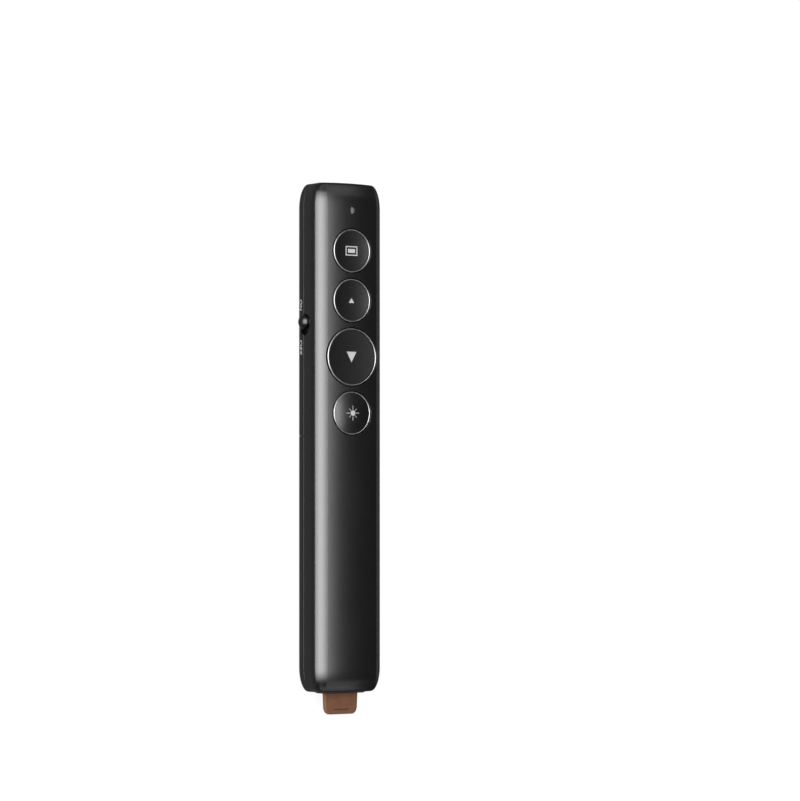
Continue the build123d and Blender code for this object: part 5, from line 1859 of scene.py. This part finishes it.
# ---- Inside: screws and spring ----
@dataclass
class Fasteners:
    """Pan-head screws with cross recesses, and the contact spring.

    Attributes:
        screws: CAD node, height of the seat under the heads, and places of each set of screws.
        screw: sizes of a screw.
        spring: sizes of the spring, the place along Y of its wide end, and the height of its axis.
    """

    screws: Sequence[tuple[str, float, Sequence[Flat]]] = (
        ("board_screws", 6.6, BOARD_SCREWS), ("frame_screws", 5.9, FRAME_SCREWS),
    )
    screw: dict[str, float] = field(default_factory=lambda: {
        "Head Radius": 1.1, "Head Height": 0.8, "Shank Radius": 0.6, "Shank Length": 3.6, "Recess Width": 0.28,
    })
    spring: dict[str, float] = field(default_factory=lambda: {
        "Base Radius": 3.3, "Tip Radius": 2.0, "Length": 2.9, "Turns": 3.0, "Wire Radius": 0.25,
        "Wide Y": -49.55, "Axis Z": 6.9,
    })

    def screw_tree(self) -> Tree:
        """Geometry tree that sets a cross-recessed screw, head down, on every point of a mesh."""
        tree = open_tree("cross_screw", list(self.screw), "Metal", on_mesh=True)
        given = add(tree, "NodeGroupInput").outputs
        radius, height, width = given["Head Radius"], given["Head Height"], given["Recess Width"]
        half, down, middle, crest, arm, half_shank = [
            add(tree, "ShaderNodeMath", {0: length, 1: share}, operation="MULTIPLY").outputs[0]
            for length, share in (
                (height, 0.5), (height, -1.0), (height, -0.25), (radius, 0.75), (radius, 1.2),
                (given["Shank Length"], 0.5),
            )
        ]
        inputs = {"Vertices": 40, "Radius Top": radius, "Radius Bottom": crest, "Depth": half}
        blanks = [(add(tree, "GeometryNodeMeshCone", {**inputs, "Side Segments": 1}), down)]
        for across, along in ((arm, width), (width, arm)):
            box = add(tree, "ShaderNodeCombineXYZ", {"X": across, "Y": along, "Z": height}).outputs[0]
            blanks.append((add(tree, "GeometryNodeMeshCube", {"Size": box}), down))
        for steps, reach, length, z in (
            (40, radius, half, middle), (28, given["Shank Radius"], given["Shank Length"], half_shank),
        ):
            inputs = {"Vertices": steps, "Radius": reach, "Depth": length}
            blanks.append((add(tree, "GeometryNodeMeshCylinder", inputs), z))
        parts = []
        for blank, z in blanks:
            at = add(tree, "ShaderNodeCombineXYZ", {"Z": z}).outputs[0]
            inputs = {"Geometry": blank.outputs["Mesh"], "Translation": at}
            parts.append(add(tree, "GeometryNodeTransform", inputs).outputs[0])
        head, *cross, collar, shank = parts
        inputs = {0: head, 1: cross}
        cut = add(tree, "GeometryNodeMeshBoolean", inputs, operation="DIFFERENCE", solver="EXACT").outputs[0]
        whole = add(tree, "GeometryNodeJoinGeometry", {0: [cut, collar, shank]}).outputs[0]
        inputs = {"Points": given["Geometry"], "Instance": whole}
        close_tree(tree, add(tree, "GeometryNodeInstanceOnPoints", inputs).outputs[0], given["Metal"])
        return tree

    def spring_tree(self) -> Tree:
        """Geometry tree of a conical wire coil along Y."""
        tree = open_tree("coil_spring", list(self.spring), "Metal")
        given = add(tree, "NodeGroupInput").outputs
        path = add(tree, "GeometryNodeCurveSpiral", {
            "Resolution": 40, "Rotations": given["Turns"], "Start Radius": given["Base Radius"],
            "End Radius": given["Tip Radius"], "Height": given["Length"],
        }).outputs[0]
        inputs = {"Resolution": 12, "Radius": given["Wire Radius"]}
        wire = add(tree, "GeometryNodeCurvePrimitiveCircle", inputs).outputs[0]
        inputs = {"Curve": path, "Profile Curve": wire, "Fill Caps": True}
        coil = add(tree, "GeometryNodeCurveToMesh", inputs).outputs[0]
        at = add(tree, "ShaderNodeCombineXYZ", {"Y": given["Wide Y"], "Z": given["Axis Z"]}).outputs[0]
        inputs = {"Geometry": coil, "Translation": at, "Rotation": (-math.pi / 2, 0.0, 0.0)}
        close_tree(tree, add(tree, "GeometryNodeTransform", inputs).outputs[0], given["Metal"])
        return tree

    def build(self) -> None:
        """Makes the screws and the spring."""
        tree = self.screw_tree()
        for name, seat, spots in self.screws:
            seeds = raw_piece(f"{name}_cross_head", [(side * x, y, seat) for x, y in spots for side in (-1, 1)])
            piece = turn_outwards(grown(seeds, tree, self.screw, FINISHES["screw_steel"]))
            finish_piece(shade(piece, 30), "screw_steel", "handset", [name])
        wire = raw_piece("negative_spring_coil", ())
        wire = turn_outwards(grown(wire, self.spring_tree(), self.spring, FINISHES["contact_steel"]), 0.001)
        finish_piece(shade(wire, 50), "contact_steel", "handset", ["negative_spring"])


# ---- Studio ----
PAPER = SweepPaper("studio_paper", "#C8C8C8", 0.9)
UP_AXIS = Vector((0.0, 1.0, 0.0))  # the object's long axis, upright in a render


@dataclass
class Studio:
    """White sweep, a bank of long soft tubes beside the camera, boxes past its ends, and the camera.

    Attributes:
        view_turn: angle of the camera from straight above the buttons towards the switch side, in degrees.
        distance: from the camera to the object's long axis, in millimetres.
        level_y: place along the object that the camera stands over.
        axis_z: height of the object's long axis.
        sensor: width of the camera's sensor, in millimetres.
        focal: focal length in pixels of an image 801 pixels high.
        image: width and height of the image in pixels.
        axis_at: pixel at which the point of the axis under the camera shows.
        bank: angle from straight up towards the switch side, width as an angle, and radiance of each tube.
        ends: angle towards the switch side, angle towards the nose, size and radiance of each box.
        reach: distance of the lamps, in metres.
        tubes: middle and length in metres, and share of the light, of a tube's bright stretch and dimmer ends.
        room: brightness of the room round the object, where 1 is white.
        floor: half the size and height of the paper, in millimetres.
    """

    view_turn: float = 32.5
    distance: float = 1030.0
    level_y: float = -22.3
    axis_z: float = 6.8
    sensor: float = 36.0
    focal: float = 3477.0
    image: Flat = (800.0, 801.0)
    axis_at: Flat = (340.0, 513.4)
    bank: Sequence[tuple[float, float, float]] = (
        (85.0, 8.0, 5.0), (77.0, 8.0, 3.2), (69.0, 8.0, 4.8), (61.0, 8.0, 5.7), (53.0, 8.0, 5.8),
        (45.0, 8.0, 5.8), (37.0, 8.0, 5.8), (29.0, 8.0, 5.5), (21.0, 8.0, 4.8), (13.0, 8.0, 4.4),
        (5.0, 8.0, 4.2), (-1.0, 4.0, 2.8), (-7.0, 8.0, 2.0), (-13.0, 4.0, 6.5), (-17.0, 4.0, 1.7),
        (-71.0, 8.0, 0.45), (-87.0, 8.0, 0.75),
    )
    ends: Sequence[tuple[float, float, Flat, float]] = (
        (-30.0, 38.0, (0.5, 0.5), 0.45), (-30.0, -38.0, (0.5, 0.5), 0.45),
        (0.0, 66.0, (1.8, 0.75), 0.4), (0.0, -66.0, (1.8, 0.75), 0.4),
    )
    reach: float = 1.3
    tubes: Sequence[Point] = ((0.125, 0.95, 0.95), (-0.475, 0.25, 0.45), (0.775, 0.35, 0.5))
    room: float = 0.03
    floor: Flat = (1500.0, -0.03)

    def toward(self, turn: float, rise: float = 0.0) -> Vector:
        """Direction from the object at an angle from straight up towards -X, raised towards +Y by rise."""
        a, b = math.radians(turn), math.radians(rise)
        return Vector((-math.sin(a) * math.cos(b), math.sin(b), math.cos(a) * math.cos(b)))

    def camera(self) -> None:
        """Adds the camera, square to the object's long axis and shifted, so that the sides stay parallel."""
        back = self.toward(self.view_turn)
        right = Vector((back.z, 0.0, -back.x))
        place = Vector((0.0, self.level_y, self.axis_z)) + back * self.distance
        data = bpy.data.cameras.new("studio_camera")
        data.sensor_width = self.sensor
        data.lens = self.sensor * self.focal / max(self.image)
        data.shift_x = (self.image[0] / 2 - self.axis_at[0]) / max(self.image)
        data.shift_y = (self.axis_at[1] - self.image[1] / 2) / max(self.image)
        data.clip_start, data.clip_end = 0.01, 50.0
        camera = put("studio_camera", data)
        turn = Matrix((right, UP_AXIS, back)).transposed().to_4x4()
        camera.matrix_world = Matrix.Translation(place * MM) @ turn
        bpy.context.scene.camera = camera

    def lamp(self, name: str, turn: float, rise: float, size: Flat, radiance: float, along: float = 0.0) -> None:
        """Adds a soft box that faces the object.

        Args:
            name: the lamp's name.
            turn: its angle from straight up towards the switch side.
            rise: its angle towards the nose.
            size: width across and length along, in metres.
            radiance: brightness of its face, where 1 is white.
            along: how far it is moved towards the nose in its own plane, in metres.
        """
        data = bpy.data.lights.new(name, "AREA")
        data.shape = "RECTANGLE"
        data.size, data.size_y = size
        data.energy = radiance * math.pi * size[0] * size[1]
        away = self.toward(turn, rise)
        side = UP_AXIS.cross(away).normalized()
        matrix = Matrix((side, away.cross(side), away)).transposed().to_4x4()
        middle = away * self.reach + Vector((0.0, along, 0.0))
        put(name, data).matrix_world = Matrix.Translation(middle) @ matrix

    def world(self) -> None:
        """Dim grey room that looks white where the camera sees past the paper."""
        world = bpy.data.worlds.new("studio_room")
        bpy.context.scene.world = world
        world.use_nodes = True
        tree = world.node_tree
        tree.nodes.clear()
        seen = add(tree, "ShaderNodeLightPath").outputs["Is Camera Ray"]
        strength = add(tree, "ShaderNodeMix", {0: seen, 2: self.room, 3: 1.0}, data_type="FLOAT").outputs[0]
        room = add(tree, "ShaderNodeBackground", {"Color": WHITE, "Strength": strength})
        add(tree, "ShaderNodeOutputWorld", {"Surface": room.outputs["Background"]})

    def build(self) -> None:
        """Makes the studio."""
        half, z = self.floor
        corners = [(-half, -half, z), (half, -half, z), (half, half, z), (-half, half, z)]
        paper = new_piece("studio_floor", corners, [(0, 1, 2, 3)])
        paper.data.materials.append(PAPER.material())
        for at, (turn, spread, radiance) in enumerate(self.bank):
            width = 2 * self.reach * math.tan(math.radians(spread / 2))
            for stretch, (middle, length, share) in enumerate(self.tubes):
                self.lamp(f"bank_tube_{at}_{stretch}", turn, 0.0, (width, length), radiance * share, middle)
        for at, (turn, rise, size, radiance) in enumerate(self.ends):
            self.lamp(f"end_box_{at}", turn, rise, size, radiance)
        self.world()
        self.camera()
        bpy.context.scene.view_settings.view_transform = "Standard"


def dress_cad_nodes() -> None:
    """Gives every CAD node that still shows the finish of its slot."""
    for name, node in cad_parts.items():
        for place in node.material_slots:
            slot = place.material.name.split(".")[0] if place.material else ""
            if slot in FINISHES:
                place.material = FINISHES[slot].material()
                LOG.info("%s: %s", name, slot)


def main() -> None:
    """Builds the object and the studio."""
    logging.basicConfig(level=logging.INFO, format="%(name)s: %(message)s")
    dress_cad_nodes()
    Housing().build()
    for key in (
        ButtonKey("screen", Top.DISHED, Sign.SCREEN),
        ButtonKey("page_up", Top.DISHED, Sign.UP),
        ButtonKey("page_down", Top.SHALLOW, Sign.DOWN),
        ButtonKey("laser", Top.DOMED, Sign.BEAM),
    ):
        key.build()
    PowerSwitch().build()
    PullTab().build()
    Fasteners().build()
    Studio().build()


if __name__ == "__main__":
    main()
